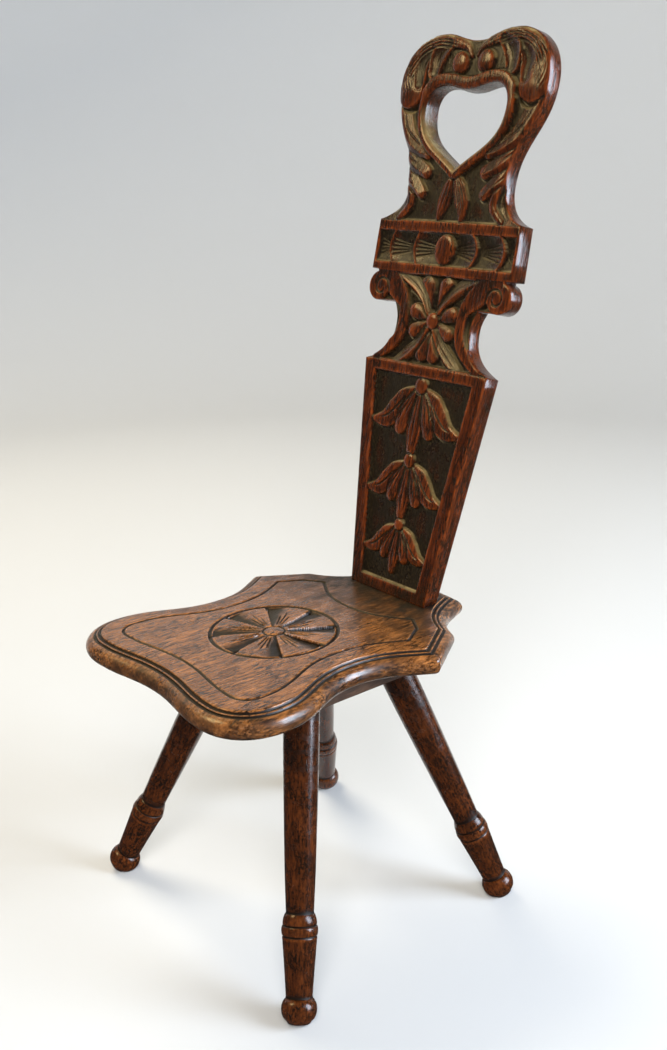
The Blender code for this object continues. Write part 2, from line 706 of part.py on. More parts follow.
def build_battens(chair, seat):
    """The two battens that carry the legs, and the screws that hold them to the seat."""
    battens = {}
    screw_length = BATTEN_THICKNESS + FIT_GAP + SCREW_SEAT_BITE
    screw_run = BATTEN_REAR_Y - BATTEN_FRONT_Y - 2 * SCREW_END_MARGIN
    for side, sign in (("left", -1), ("right", 1)):
        xs = sorted((sign * BATTEN_INNER_X, sign * BATTEN_OUTER_X))
        low = (xs[0], BATTEN_FRONT_Y, BATTEN_BOTTOM_Z)
        high = (xs[1], BATTEN_REAR_Y, BATTEN_TOP_Z)
        batten = place(box(f"batten_{side}", low, high), chair, BATTEN_OAK)
        bevel = batten.modifiers.new("eased_edges", "BEVEL")
        bevel.width = BATTEN_EDGE_RADIUS
        bevel.segments = 2
        battens[side] = batten
        for k in range(SCREWS_PER_BATTEN):
            y = BATTEN_FRONT_Y + SCREW_END_MARGIN + screw_run * k / (SCREWS_PER_BATTEN - 1)
            spot = (sign * SCREW_X, y, BATTEN_BOTTOM_Z)
            screw = turned(f"batten_screw_{side}_{k + 1}", screw_profile(screw_length), SCREW_SIDES)
            screw.location = spot
            place(screw, chair, SCREW_IRON)
            half = SCREW_SLOT_WIDTH / 2
            reach = SCREW_HEAD_RADIUS + CUT_PAST
            slot_top = (reach, half, SCREW_SLOT_DEPTH)
            slot = box(f"screw_slot_{side}_{k + 1}", (-reach, -half, -CUT_PAST), slot_top)
            slot.location = spot
            boolean(screw, place(slot, chair))
            hole_profile = screw_profile(screw_length, FIT_GAP, CUT_PAST)
            hole = turned(f"screw_hole_{side}_{k + 1}", hole_profile, SCREW_SIDES)
            hole.location = spot
            place(hole, chair)
            boolean(batten, hole)
            boolean(seat, hole)
    return battens


def build_legs(chair, seat, battens):
    """Four turned legs, each with a wedged round tenon through a batten into the seat."""
    reach = 2 * max(FRONT_FOOT[0], REAR_FOOT[1])
    floor = place(box("floor_plane", (-reach, -reach, -reach), (reach, reach, 0.0)), chair)
    shoulder_z = BATTEN_BOTTOM_Z - FIT_GAP
    shoulder_low = (-reach, -reach, shoulder_z)
    shoulder = place(box("shoulder_plane", shoulder_low, (reach, reach, 2 * reach)), chair)
    for row, foot, head in (("front", FRONT_FOOT, FRONT_HEAD), ("rear", REAR_FOOT, REAR_HEAD)):
        for side, sign in (("left", -1), ("right", 1)):
            name = f"{row}_{side}"
            start, along, length = leg_axis((sign * foot[0], foot[1]), (sign * head[0], head[1]))
            turn = Vector((0, 0, 1)).rotation_difference(along).to_matrix().to_4x4()
            pose = Matrix.Translation(start) @ turn
            tenon_end = length + (BATTEN_THICKNESS + FIT_GAP + SOCKET_DEPTH) / along.z

            leg = place(turned(f"leg_{name}", leg_profile(length), LEG_SIDES), chair, LEG_OAK)
            tenon_root = length - LEG_TENON_RADIUS
            tenon = cylinder(f"leg_tenon_{name}", LEG_TENON_RADIUS, tenon_root, tenon_end, LEG_SIDES)
            place(tenon, chair)
            boolean(leg, floor)
            boolean(leg, shoulder)
            boolean(leg, tenon, "UNION")
            socket_radius = LEG_TENON_RADIUS + FIT_GAP
            socket_foot = length - 2 * LEG_TENON_RADIUS
            socket_end = tenon_end + FIT_GAP
            socket = cylinder(f"leg_socket_{name}", socket_radius, socket_foot, socket_end, LEG_SIDES)
            place(socket, chair)
            boolean(battens[side], socket)
            boolean(seat, socket)

            half = LEG_TENON_RADIUS - LEG_WEDGE_MARGIN
            sizes = (LEG_WEDGE_DEPTH, LEG_WEDGE_THICK, LEG_WEDGE_POINT)
            wedge = place(tapered_wedge(f"leg_wedge_{name}", (-half, half), *sizes), chair, WEDGE_OAK)
            kerf_half = LEG_TENON_RADIUS + CUT_PAST
            kerf = tapered_wedge(
                f"leg_kerf_{name}", (-kerf_half, kerf_half), *sizes, gap=FIT_GAP, tail=CUT_PAST)
            boolean(leg, place(kerf, chair))
            point_down = Matrix.Translation((0, 0, tenon_end)) @ Matrix.Rotation(-math.pi / 2, 4, "X")
            for obj in (leg, tenon, socket):
                obj.matrix_local = pose
            for obj in (wedge, kerf):
                obj.matrix_local = pose @ point_down


def chair_middle_y():
    """Middle of the chair from the front of the seat to the back's rearmost point."""
    rear = BACK_FOOT_Y + BACK_LOBE_TOP[1] * math.sin(BACK_RAKE) + BACK_THICKNESS * math.cos(BACK_RAKE)
    return (SEAT_LOBE_FRONT[1] + rear) / 2


def build_chair():
    chair = bpy.data.objects.new("chair_origin", None)
    PARTS.objects.link(chair)
    chair.location.y = -chair_middle_y()
    seat = build_seat(chair)
    build_back(chair, seat)
    battens = build_battens(chair, seat)
    build_legs(chair, seat, battens)


clear_scene()
PARTS = new_collection("spinning_chair")
CUTTERS = new_collection("spinning_chair_cutters")
build_chair()
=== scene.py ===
"""A carved oak spinning chair: the finished model, its materials and a plain studio."""

import logging
import math
from collections.abc import Sequence
from dataclasses import dataclass, field, replace
from enum import Enum

import bmesh
import bpy
import numpy as np
from mathutils import Matrix, Vector, geometry


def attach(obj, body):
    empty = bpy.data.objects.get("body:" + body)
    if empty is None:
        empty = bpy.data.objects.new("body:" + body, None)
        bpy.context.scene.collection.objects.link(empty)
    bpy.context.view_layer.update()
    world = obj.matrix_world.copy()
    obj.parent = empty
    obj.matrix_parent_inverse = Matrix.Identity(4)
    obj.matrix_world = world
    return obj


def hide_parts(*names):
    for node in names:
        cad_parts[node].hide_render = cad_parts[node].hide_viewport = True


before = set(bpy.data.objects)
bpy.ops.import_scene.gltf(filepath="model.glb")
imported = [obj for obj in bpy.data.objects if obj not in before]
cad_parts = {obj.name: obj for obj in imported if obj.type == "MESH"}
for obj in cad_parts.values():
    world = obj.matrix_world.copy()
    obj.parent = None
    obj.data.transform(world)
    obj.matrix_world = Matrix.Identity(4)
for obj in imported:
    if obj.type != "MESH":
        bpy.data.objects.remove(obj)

LOG = logging.getLogger("spinning_chair")
MM = 0.001
HEADING_REACH = 0.42  # share of a span over which a drawn line keeps its heading
SHARPEST_MITRE = 0.4  # holds back the points of sharp corners
SOUND_SHARE, SOUND_SLACK = 0.975, 0.02  # how near its distance a moved point has to be
BLUR_REACH = 2.5  # spreads that a smoothing takes in
TRENCH_REACH = 1.8  # half width of the trench round a carved form, in millimetres
FLAT_BEND = 0.0165  # bend in millimetres below which a face needs few points
FLAT_STEP = 4  # lattice steps between those few
WELD = 2e-7  # distance in metres at which points of a mesh are joined
Point = tuple[float, float]
Colour = tuple[float, float, float]
Socket = bpy.types.NodeSocket


# ---------------------------------------------------------------- lines and loops


def heading(degrees: float) -> np.ndarray:
    """Return the unit vector that points along a heading in degrees."""
    return np.array((math.cos(math.radians(degrees)), math.sin(math.radians(degrees))))


def flow(knots: Sequence[tuple[Point, float]], steps: int = 14) -> np.ndarray:
    """Draw a smooth line through points that each have a heading.

    Args:
        knots: Points, each with the heading in degrees that the line has there.
        steps: Number of pieces in each span.

    Returns:
        The line's points, one row each.
    """
    rows = [np.array([knots[0][0]], float)]
    share = np.linspace(0, 1, steps + 1)[1:, None]
    rest = 1 - share
    for (start, leaving), (end, arriving) in zip(knots, knots[1:]):
        a, d = np.array(start, float), np.array(end, float)
        reach = HEADING_REACH * np.linalg.norm(d - a)
        b, c = a + reach * heading(leaving), d - reach * heading(arriving)
        rows.append(rest**3 * a + 3 * rest**2 * share * b + 3 * rest * share**2 * c + share**3 * d)
    return np.vstack(rows)


def curve(points: Sequence[Point], steps: int = 8) -> np.ndarray:
    """Draw a smooth line through bare points.

    Args:
        points: Two or more points on the line.
        steps: Number of pieces in each span.

    Returns:
        The line's points, one row each.
    """
    knots = np.array(points, float)
    padded = np.vstack([2 * knots[0] - knots[1], knots, 2 * knots[-1] - knots[-2]])
    share = np.linspace(0, 1, steps + 1)[1:, None]
    rows = [knots[:1]]
    for before, a, b, after in zip(padded, padded[1:], padded[2:], padded[3:]):
        bend = (b - before) * share + (2 * before - 5 * a + 4 * b - after) * share**2
        rows.append(a + 0.5 * (bend + (3 * a - before - 3 * b + after) * share**3))
    return np.vstack(rows)


def mirrored(half: np.ndarray) -> np.ndarray:
    """Close a half outline with its mirror image.

    Args:
        half: Points on the right, starting at the top of the middle line.

    Returns:
        The closed outline.
    """
    back = half[::-1] * (-1, 1)
    first = 1 if abs(half[-1, 0]) < 1e-6 else 0
    last = len(back) - 1 if abs(half[0, 0]) < 1e-6 else len(back)
    return np.vstack([half, back[first:last]])


def inset(loop: np.ndarray, distance: float) -> np.ndarray:
    """Move a closed loop inwards along its mitres.

    Args:
        loop: The loop's points in order.
        distance: How far each side moves; outwards when negative.

    Returns:
        The moved loop, with as many points.
    """
    ahead = np.roll(loop, -1, 0) - loop
    ahead /= np.linalg.norm(ahead, axis=1)[:, None]
    area = np.sum(loop[:, 0] * np.roll(loop[:, 1], -1) - np.roll(loop[:, 0], -1) * loop[:, 1])
    normal = math.copysign(1, area) * np.column_stack([-ahead[:, 1], ahead[:, 0]])
    before = np.roll(normal, 1, 0)
    spread = np.maximum(1 + np.sum(normal * before, axis=1), SHARPEST_MITRE)
    return loop + (normal + before) * (distance / spread)[:, None]


def inside(x: np.ndarray, y: np.ndarray, loop: np.ndarray) -> np.ndarray:
    """Tell which points lie inside a closed loop.

    Args:
        x: The points' first coordinates.
        y: Their second coordinates.
        loop: The loop's points in order.

    Returns:
        True for each point inside.
    """
    hit = np.zeros(x.shape, bool)
    for (ax, ay), (bx, by) in zip(loop, np.roll(loop, -1, 0)):
        if ay != by:
            hit ^= ((ay > y) != (by > y)) & (x < (bx - ax) * (y - ay) / (by - ay) + ax)
    return hit


def nearest(x: np.ndarray, y: np.ndarray, line: np.ndarray) -> tuple[np.ndarray, np.ndarray]:
    """Measure points against a line.

    Args:
        x: The points' first coordinates.
        y: Their second coordinates.
        line: The line's points in order.

    Returns:
        The distance, positive on the line's left, and the share of the line's length there.
    """
    away, share, side = np.full(x.shape, np.inf), np.zeros(x.shape), np.ones(x.shape)
    lengths = np.maximum(np.linalg.norm(np.diff(line, axis=0), axis=1), 1e-9)
    run = np.concatenate([[0], np.cumsum(lengths)])
    for a, b, length, start in zip(line, line[1:], lengths, run):
        dx, dy = (b - a) / length
        px, py = x - a[0], y - a[1]
        along = np.clip(px * dx + py * dy, 0, length)
        gap = np.hypot(px - along * dx, py - along * dy)
        closer = gap < away
        away[closer] = gap[closer]
        share[closer] = ((start + along) / run[-1])[closer]
        side[closer] = np.where(dx * py - dy * px >= 0, 1, -1)[closer]
    return away * side, share


def depth_in(x: np.ndarray, y: np.ndarray, loop: np.ndarray) -> np.ndarray:
    """Measure how far inside a closed loop points are; negative outside."""
    away, _ = nearest(x, y, np.vstack([loop, loop[:1]]))
    return np.where(inside(x, y, loop), np.abs(away), -np.abs(away))


def moulded(loop: np.ndarray, distance: float) -> np.ndarray:
    """Move a closed loop inwards, drawing points that cross over at a corner back to that corner.

    Args:
        loop: The loop's points in order.
        distance: How far each side moves.

    Returns:
        The moved loop, with as many points.
    """
    moved = inset(loop, distance)
    good = depth_in(moved[:, 0], moved[:, 1], loop) > SOUND_SHARE * distance - SOUND_SLACK
    kept = np.flatnonzero(good)
    for lost in np.flatnonzero(~good):
        steps = np.abs(kept - lost)
        steps = np.minimum(steps, len(loop) - steps)
        near = kept[np.argsort(steps)[:4]]
        moved[lost] = moved[near[np.argmin(np.linalg.norm(moved[near] - moved[lost], axis=1))]]
    return moved


def unit(value: np.ndarray) -> np.ndarray:
    """Hold values between 0 and 1."""
    return np.clip(value, 0, 1)


def ease(value: np.ndarray) -> np.ndarray:
    """Turn a share from 0 to 1 into a soft step."""
    share = unit(value)
    return share * share * (3 - 2 * share)


def blurred(values: np.ndarray, radius: float) -> np.ndarray:
    """Smooth a lattice of values.

    Args:
        values: The lattice.
        radius: Spread of the smoothing, in lattice steps.

    Returns:
        The smoothed lattice.
    """
    reach = max(1, int(math.ceil(BLUR_REACH * radius)))
    weights = np.exp(-0.5 * (np.arange(-reach, reach + 1) / radius) ** 2)
    weights /= weights.sum()
    for axis in (0, 1):
        padded = np.pad(values, [(reach, reach) if k == axis else (0, 0) for k in (0, 1)], "edge")
        size = values.shape[axis]
        values = sum(w * np.take(padded, np.arange(k, k + size), axis) for k, w in enumerate(weights))
    return values


# ---------------------------------------------------------------- carving


class Section(Enum):
    """Shape across a carved leaf."""

    ROUND = "round"
    RIDGE = "ridge"
    HOLLOW = "hollow"

    def rise(self, across: np.ndarray, lean: float) -> np.ndarray:
        """Return the share of the crown across a leaf.

        Args:
            across: Places from -1 to 1 across the leaf.
            lean: Where its ridge or its lowest line runs, from -1 to 1.

        Returns:
            Shares from 0 to 1.
        """
        out = np.where(across > lean, (across - lean) / (1 - lean), (lean - across) / (1 + lean))
        if self is Section.ROUND:
            return 1 - out**2
        return 1 - out if self is Section.RIDGE else out**2


@dataclass(frozen=True)
class Leaf:
    """One carved leaf, lobe or strand.

    Sizes are in millimetres, and heights are measured from the board's flat face.
    """

    spine: Sequence[Point]
    widths: Sequence[float]
    lifts: Sequence[float]
    crown: float = 1.5
    section: Section = Section.ROUND
    veins: int = 0
    vein_cut: float = 0.6
    trench: float = 0.9
    lean: float = 0.0

    def mirrored(self) -> "Leaf":
        """Return the same leaf on the other side of the middle line."""
        return replace(self, spine=[(-x, y) for x, y in self.spine], lean=-self.lean)


@dataclass
class Relief:
    """A carved face, held as heights over a flat board, in millimetres."""

    low: Point
    high: Point
    pitch: float
    wall: float = 0.9
    x: np.ndarray = field(init=False)
    y: np.ndarray = field(init=False)
    height: np.ndarray = field(init=False)

    def __post_init__(self) -> None:
        """Lay out a flat lattice."""
        axes = [np.arange(a, b + self.pitch, self.pitch) for a, b in zip(self.low, self.high)]
        self.x, self.y = np.meshgrid(*axes)
        self.height = np.zeros_like(self.x)

    def patch(self, line: np.ndarray, margin: float) -> tuple[slice, slice]:
        """Find the rows and columns of the lattice round a line.

        Args:
            line: Points to take in.
            margin: How far round them to go.

        Returns:
            The rows and the columns.
        """
        first = np.maximum(np.floor((line.min(0) - margin - self.low) / self.pitch), 0).astype(int)
        last = np.maximum(np.ceil((line.max(0) + margin - self.low) / self.pitch), 0).astype(int) + 1
        return slice(first[1], last[1]), slice(first[0], last[0])

    def sink(self, loop: np.ndarray, floor: float, slope: float) -> None:
        """Take the inside of a loop to a floor, with sloping sides.

        Args:
            loop: Edge of the sunk place.
            floor: Height of its floor.
            slope: Width of the sides.
        """
        at = self.patch(loop, 1)
        share = ease(depth_in(self.x[at], self.y[at], loop) / slope)
        self.height[at] += (floor - self.height[at]) * share

    def carve(self, leaf: Leaf) -> None:
        """Lay a leaf over what is carved so far, with a fine trench round it.

        Args:
            leaf: The leaf.
        """
        line = curve(leaf.spine)
        at = self.patch(line, max(leaf.widths) + 4)
        away, share = nearest(self.x[at], self.y[at], line)
        wide = np.interp(share, np.linspace(0, 1, len(leaf.widths)), leaf.widths)
        across = np.clip(away / wide, -1, 1)
        top = np.interp(share, np.linspace(0, 1, len(leaf.lifts)), leaf.lifts)
        top = top + leaf.crown * leaf.section.rise(across, leaf.lean)
        if leaf.veins:
            fade = unit(np.minimum(share, 1 - share) * 7)
            top -= leaf.vein_cut * fade * np.abs(np.cos(0.5 * math.pi * leaf.veins * across)) ** 5
        self.lay(at, np.abs(away) - wide, top, leaf.trench)

    def carve_pairs(self, leaves: Sequence[Leaf]) -> None:
        """Carve leaves and their mirror images.

        Args:
            leaves: Leaves on one side.
        """
        for leaf in leaves:
            self.carve(leaf)
            self.carve(leaf.mirrored())

    def lay(self, at: tuple[slice, slice], over: np.ndarray, top: np.ndarray, trench: float = 0.9) -> None:
        """Lay heights over a patch, given how far outside the form's edge each place is, with a trench there."""
        ground = self.height[at] - trench * unit(1 - np.abs(over) / TRENCH_REACH)
        self.height[at] = ground + (top - ground) * ease(0.5 - over / self.wall)

    def gouge(self, points: Sequence[Point], width: float, cut: float, taper: float = 0.3) -> None:
        """Cut a groove that thins out at its ends.

        Args:
            points: Points that the groove passes through.
            width: Full width of the groove.
            cut: Depth of the groove.
            taper: Share of the length over which each end thins out; 0 for none.
        """
        line = curve(points)
        at = self.patch(line, width)
        away, share = nearest(self.x[at], self.y[at], line)
        fade = unit(np.minimum(share, 1 - share) / taper) ** 0.7 if taper else 1.0
        across = np.abs(away) / (0.5 * width * np.maximum(fade, 0.2))
        self.height[at] -= cut * fade * unit(1 - across**2)

    def gouge_pair(self, points: Sequence[Point], width: float, cut: float, taper: float = 0.3) -> None:
        """Cut a groove and its mirror image, with the values that gouge takes."""
        for side in (-1, 1):
            self.gouge(np.array(points) * (side, 1), width, cut, taper)

    def knob(self, centre: Point, radii: Point, base: float, top: float, flat: float = 2.0) -> None:
        """Raise a rounded knob.

        Args:
            centre: Middle of the knob.
            radii: Its half sizes.
            base: Height at its edge.
            top: Height at its middle.
            flat: Power of the dome; 2 is round and more is flatter.
        """
        box = np.array([np.subtract(centre, radii), np.add(centre, radii)])
        at = self.patch(box, 3)
        out = np.hypot((self.x[at] - centre[0]) / radii[0], (self.y[at] - centre[1]) / radii[1])
        dome = base + (top - base) * np.sqrt(1 - unit(out) ** flat)
        self.lay(at, (out - 1) * min(radii), dome)

    def sample(self, lattice: np.ndarray, points: np.ndarray) -> np.ndarray:
        """Read a lattice of values at points, in proportion between its nodes.

        Args:
            lattice: The values.
            points: Places on the face.

        Returns:
            The values there.
        """
        column = np.clip((points[:, 0] - self.low[0]) / self.pitch, 0, lattice.shape[1] - 1.001)
        row = np.clip((points[:, 1] - self.low[1]) / self.pitch, 0, lattice.shape[0] - 1.001)
        i, j = row.astype(int), column.astype(int)
        u, v = row - i, column - j
        near = lattice[i, j] * (1 - v) + lattice[i, j + 1] * v
        far = lattice[i + 1, j] * (1 - v) + lattice[i + 1, j + 1] * v
        return near * (1 - u) + far * u

    def stand(self, reach: float, full: float) -> np.ndarray:
        """Return how far each place stands above those within reach, against a full height."""
        return (self.height - blurred(self.height, reach / self.pitch)) / full

    def recess(self) -> np.ndarray:
        """Return how deep in a hollow each place lies, from 0 to 1."""
        broad, fine = unit(-self.stand(4.5, 2.2)), unit(-self.stand(1.5, 0.55))
        # deeper places count as more recessed; the finish paints this as grime and painted shade
        return unit(0.65 * broad + 0.55 * fine + unit(-self.height / 5.0) * 0.7)

    def wear(self) -> np.ndarray:
        """Return how much each place stands out to be rubbed, from 0 to 1."""
        return unit(0.6 * unit(self.stand(1.6, 0.5)) + 0.6 * unit(self.stand(6.0, 2.4)))

    def upward_sheen(self, start: float, full: float) -> np.ndarray:
        """Return the painted gold highlight on each sunk place that looks up.

        Args:
            start: Slope at which the painted highlight begins.
            full: Slope at which it is strongest.

        Returns:
            Shares from 0 to 1.
        """
        fall = -np.gradient(blurred(self.height, 0.6), self.pitch, axis=0)
        held = unit((fall - start) / (full - start))
        return blurred(held * unit((-self.height - 0.6) / 1.8), 0.6)

    def lattice(self, loops: Sequence[np.ndarray]) -> np.ndarray:
        """Choose mesh points inside the first loop and outside the others.

        Args:
            loops: The face's edge, then its holes.

        Returns:
            Points on the lattice: all of them where it is carved and a few where it is flat.
        """
        bend = np.abs(self.height - blurred(self.height, 1.0))
        keep = blurred(bend, 1.5) > FLAT_BEND
        keep[::FLAT_STEP, ::FLAT_STEP] = True
        keep &= depth_in(self.x, self.y, loops[0]) > 0.6 * self.pitch
        for hole in loops[1:]:
            keep &= depth_in(self.x, self.y, hole) < -0.6 * self.pitch
        return np.column_stack([self.x[keep], self.y[keep]])


# ---------------------------------------------------------------- meshes


def triangulated(loops: Sequence[np.ndarray], inner: np.ndarray) -> np.ndarray:
    """Fill a face with triangles.

    Args:
        loops: The face's edge, then its holes.
        inner: Further points inside the face.

    Returns:
        Rows of three indices into the loops' points and then the inner ones.
    """
    points = np.vstack([*loops, inner]) if len(inner) else np.vstack(loops)
    rings, first = [], 0
    for loop in loops:
        rings.append(list(range(first, first + len(loop))))
        first += len(loop)
    made = geometry.delaunay_2d_cdt([Vector(p) for p in points], [], rings, 1, 1e-7, True)
    source = np.array([ids[0] if ids else -1 for ids in made[3]])
    faces = source[np.array(made[2])]
    faces = faces[(faces >= 0).all(1)]
    middle = points[faces].mean(1)
    keep = inside(middle[:, 0], middle[:, 1], loops[0])
    for hole in loops[1:]:
        keep &= ~inside(middle[:, 0], middle[:, 1], hole)
    return faces[keep]


@dataclass
class Shell:
    """Collects the points and faces of one mesh, with its grain, hollows with their dirt and painted shade, worn
    places and painted highlight.
    """

    rows: list[tuple[np.ndarray, ...]] = field(default_factory=list)
    faces: list[tuple[int, ...]] = field(default_factory=list)
    count: int = 0

    def add(self, points: np.ndarray, grain: np.ndarray, recess: np.ndarray | float = 0.0,
            wear: np.ndarray | float = 0.0, upward_sheen: np.ndarray | float = 0.0) -> np.ndarray:
        """Add points.

        Args:
            points: Places in metres.
            grain: The same places in the wood, with the fibres along the last axis.
            recess: How much dirt and painted shade each takes, from 0 to 1, more the deeper it lies in a hollow.
            wear: How worn each is, from 0 to 1.
            upward_sheen: How much painted gold highlight each takes, from 0 to 1.

        Returns:
            The points' numbers in the mesh.
        """
        size = len(points)
        self.rows.append((points, grain, *(np.broadcast_to(v, size) for v in (recess, wear, upward_sheen))))
        self.count += size
        return np.arange(self.count - size, self.count)

    def bridge(self, first: np.ndarray, second: np.ndarray) -> None:
        """Join two closed rings of equal size with a strip of faces."""
        ahead, over = np.roll(first, -1), np.roll(second, -1)
        self.faces.extend(map(tuple, np.column_stack([first, ahead, over, second]).tolist()))

    def fill(self, faces: np.ndarray) -> None:
        """Add faces given by the points' numbers."""
        self.faces.extend(map(tuple, faces.tolist()))

    def build(self, name: str, sharp: float | None = None) -> bpy.types.Object:
        """Make the mesh and its object.

        Args:
            name: The object's name.
            sharp: Angle in degrees above which an edge stays crisp; none is crisp without it.

        Returns:
            The object, in the scene.
        """
        mesh = bpy.data.meshes.new(name)
        points, grain, *shares = (np.concatenate(column) for column in zip(*self.rows))
        mesh.from_pydata(points.tolist(), [], self.faces)
        mesh.attributes.new("grain", "FLOAT_VECTOR", "POINT").data.foreach_set(
            "vector", grain.astype(np.float32).ravel())
        for title, values in zip(("recess", "wear", "upward_sheen"), shares):
            mesh.attributes.new(title, "FLOAT", "POINT").data.foreach_set("value", values.astype(np.float32))
        work = bmesh.new()
        work.from_mesh(mesh)
        bmesh.ops.remove_doubles(work, verts=work.verts, dist=WELD)
        bmesh.ops.recalc_face_normals(work, faces=work.faces)
        work.to_mesh(mesh)
        work.free()
        mesh.shade_smooth()
        if sharp is not None:
            mesh.set_sharp_from_angle(angle=math.radians(sharp))
        made = bpy.data.objects.new(name, mesh)
        bpy.context.scene.collection.objects.link(made)
        return made


# ---------------------------------------------------------------- materials


class Nodes:
    """Lays nodes in a tree and joins them up."""

    def __init__(self, tree: bpy.types.NodeTree) -> None:
        """Take an empty tree."""
        self.tree = tree
        self.column = 0

    def add(self, kind: str, ins: dict[str | int, object] | None = None, **settings: object) -> bpy.types.Node:
        """Add a node.

        Args:
            kind: The node's type.
            ins: Values or sockets for its inputs, by name or number.
            settings: Other settings of the node.

        Returns:
            The node.
        """
        node = self.tree.nodes.new(kind)
        node.location = (190 * self.column, -40 * (self.column % 5))
        self.column += 1
        for name, value in settings.items():
            setattr(node, name, value)
        for key, value in (ins or {}).items():
            if isinstance(value, bpy.types.NodeSocket):
                self.tree.links.new(value, node.inputs[key])
            else:
                node.inputs[key].default_value = value
        return node

    def mix(self, share: Socket, first: object, second: object) -> Socket:
        """Blend two colours by a share that varies over the surface."""
        first, second = ((*c, 1.0) if isinstance(c, tuple) else c for c in (first, second))
        return self.add("ShaderNodeMix", {0: share, 6: first, 7: second}, data_type="RGBA").outputs[2]

    def layer(self, body: Socket, mask: Socket, share: float, colour: Colour) -> Socket:
        """Lay a share of a colour over another where a mask shows."""
        return self.mix(self.math("MULTIPLY", mask, share), body, colour)

    def math(self, operation: str, first: object, second: object) -> Socket:
        """Combine two values."""
        return self.add("ShaderNodeMath", {0: first, 1: second}, operation=operation).outputs[0]

    def remap(self, value: Socket, low: float, high: float, first: float = 0.0, last: float = 1.0) -> Socket:
        """Stretch a value from one span to another, held at the ends."""
        ins = {"Value": value, "From Min": low, "From Max": high, "To Min": first, "To Max": last}
        return self.add("ShaderNodeMapRange", ins).outputs[0]

    def noise(self, place: Socket, stretch: tuple[float, float, float], detail: float = 3.0) -> Socket:
        """Add noise that is stretched along the axes.

        Args:
            place: Where to read it.
            stretch: How fast it changes along each axis.
            detail: How fine it is.

        Returns:
            The noise.
        """
        spot = self.add("ShaderNodeMapping", {"Vector": place, "Scale": stretch}).outputs[0]
        return self.add("ShaderNodeTexNoise", {"Vector": spot, "Scale": 1.0, "Detail": detail,
                                               "Roughness": 0.6}).outputs[0]


class Effect(Enum):
    """Surface effects that the finishes share."""

    GRAIN = "oak_grain"
    AGE = "old_wax"

    def tree(self) -> bpy.types.NodeTree:
        """Return the effect's node group, made on first use."""
        found = bpy.data.node_groups.get(self.value)
        return found or (make_grain() if self is Effect.GRAIN else make_age())


def start_group(name: str, takes: Sequence[tuple[str, str]], gives: Sequence[str]) -> tuple[Nodes, bpy.types.Node]:
    """Begin a node group.

    Args:
        name: The group's name.
        takes: Names and kinds of its inputs.
        gives: Names of its outputs, all plain values.

    Returns:
        The nodes' layer and the group's input node.
    """
    tree = bpy.data.node_groups.new(name, "ShaderNodeTree")
    for title, kind in takes:
        tree.interface.new_socket(name=title, in_out="INPUT", socket_type=kind)
    for title in gives:
        tree.interface.new_socket(name=title, in_out="OUTPUT", socket_type="NodeSocketFloat")
    nodes = Nodes(tree)
    return nodes, nodes.add("NodeGroupInput")


def make_grain() -> bpy.types.NodeTree:
    """Make the oak's grain: streaks, pores, flecks and figure, with fibres along the last axis.

    Returns:
        The node group.
    """
    nodes, given = start_group(Effect.GRAIN.value, [("Place", "NodeSocketVector")],
                               ["Streaks", "Pores", "Flecks", "Figure", "Height"])
    place = given.outputs["Place"]
    bent = nodes.noise(place, (9, 9, 4), 2)
    shifted = nodes.add("ShaderNodeVectorMath", {0: place, 1: nodes.add(
        "ShaderNodeCombineXYZ", {"X": nodes.math("MULTIPLY", bent, 0.010)}).outputs[0]}).outputs[0]
    streaks = nodes.remap(nodes.noise(shifted, (400, 400, 36), 5), 0.40, 0.62)
    vessel = nodes.noise(shifted, (900, 900, 26), 2)
    belt = nodes.noise(shifted, (120, 120, 5), 2)
    pores = nodes.math("MULTIPLY", nodes.remap(vessel, 0.58, 0.70), nodes.remap(belt, 0.40, 0.62))
    spots = nodes.remap(nodes.noise(shifted, (420, 420, 110), 5), 0.45, 0.58)
    flecks = nodes.math("MULTIPLY", spots, nodes.remap(nodes.noise(shifted, (45, 45, 20), 3), 0.36, 0.58))
    figure = nodes.remap(nodes.noise(shifted, (38, 38, 14), 4), 0.40, 0.64)
    height = nodes.math("SUBTRACT", nodes.math("MULTIPLY", streaks, 0.35), pores)
    nodes.add("NodeGroupOutput", {"Streaks": streaks, "Pores": pores, "Flecks": flecks, "Figure": figure,
                                  "Height": height})
    return nodes.tree


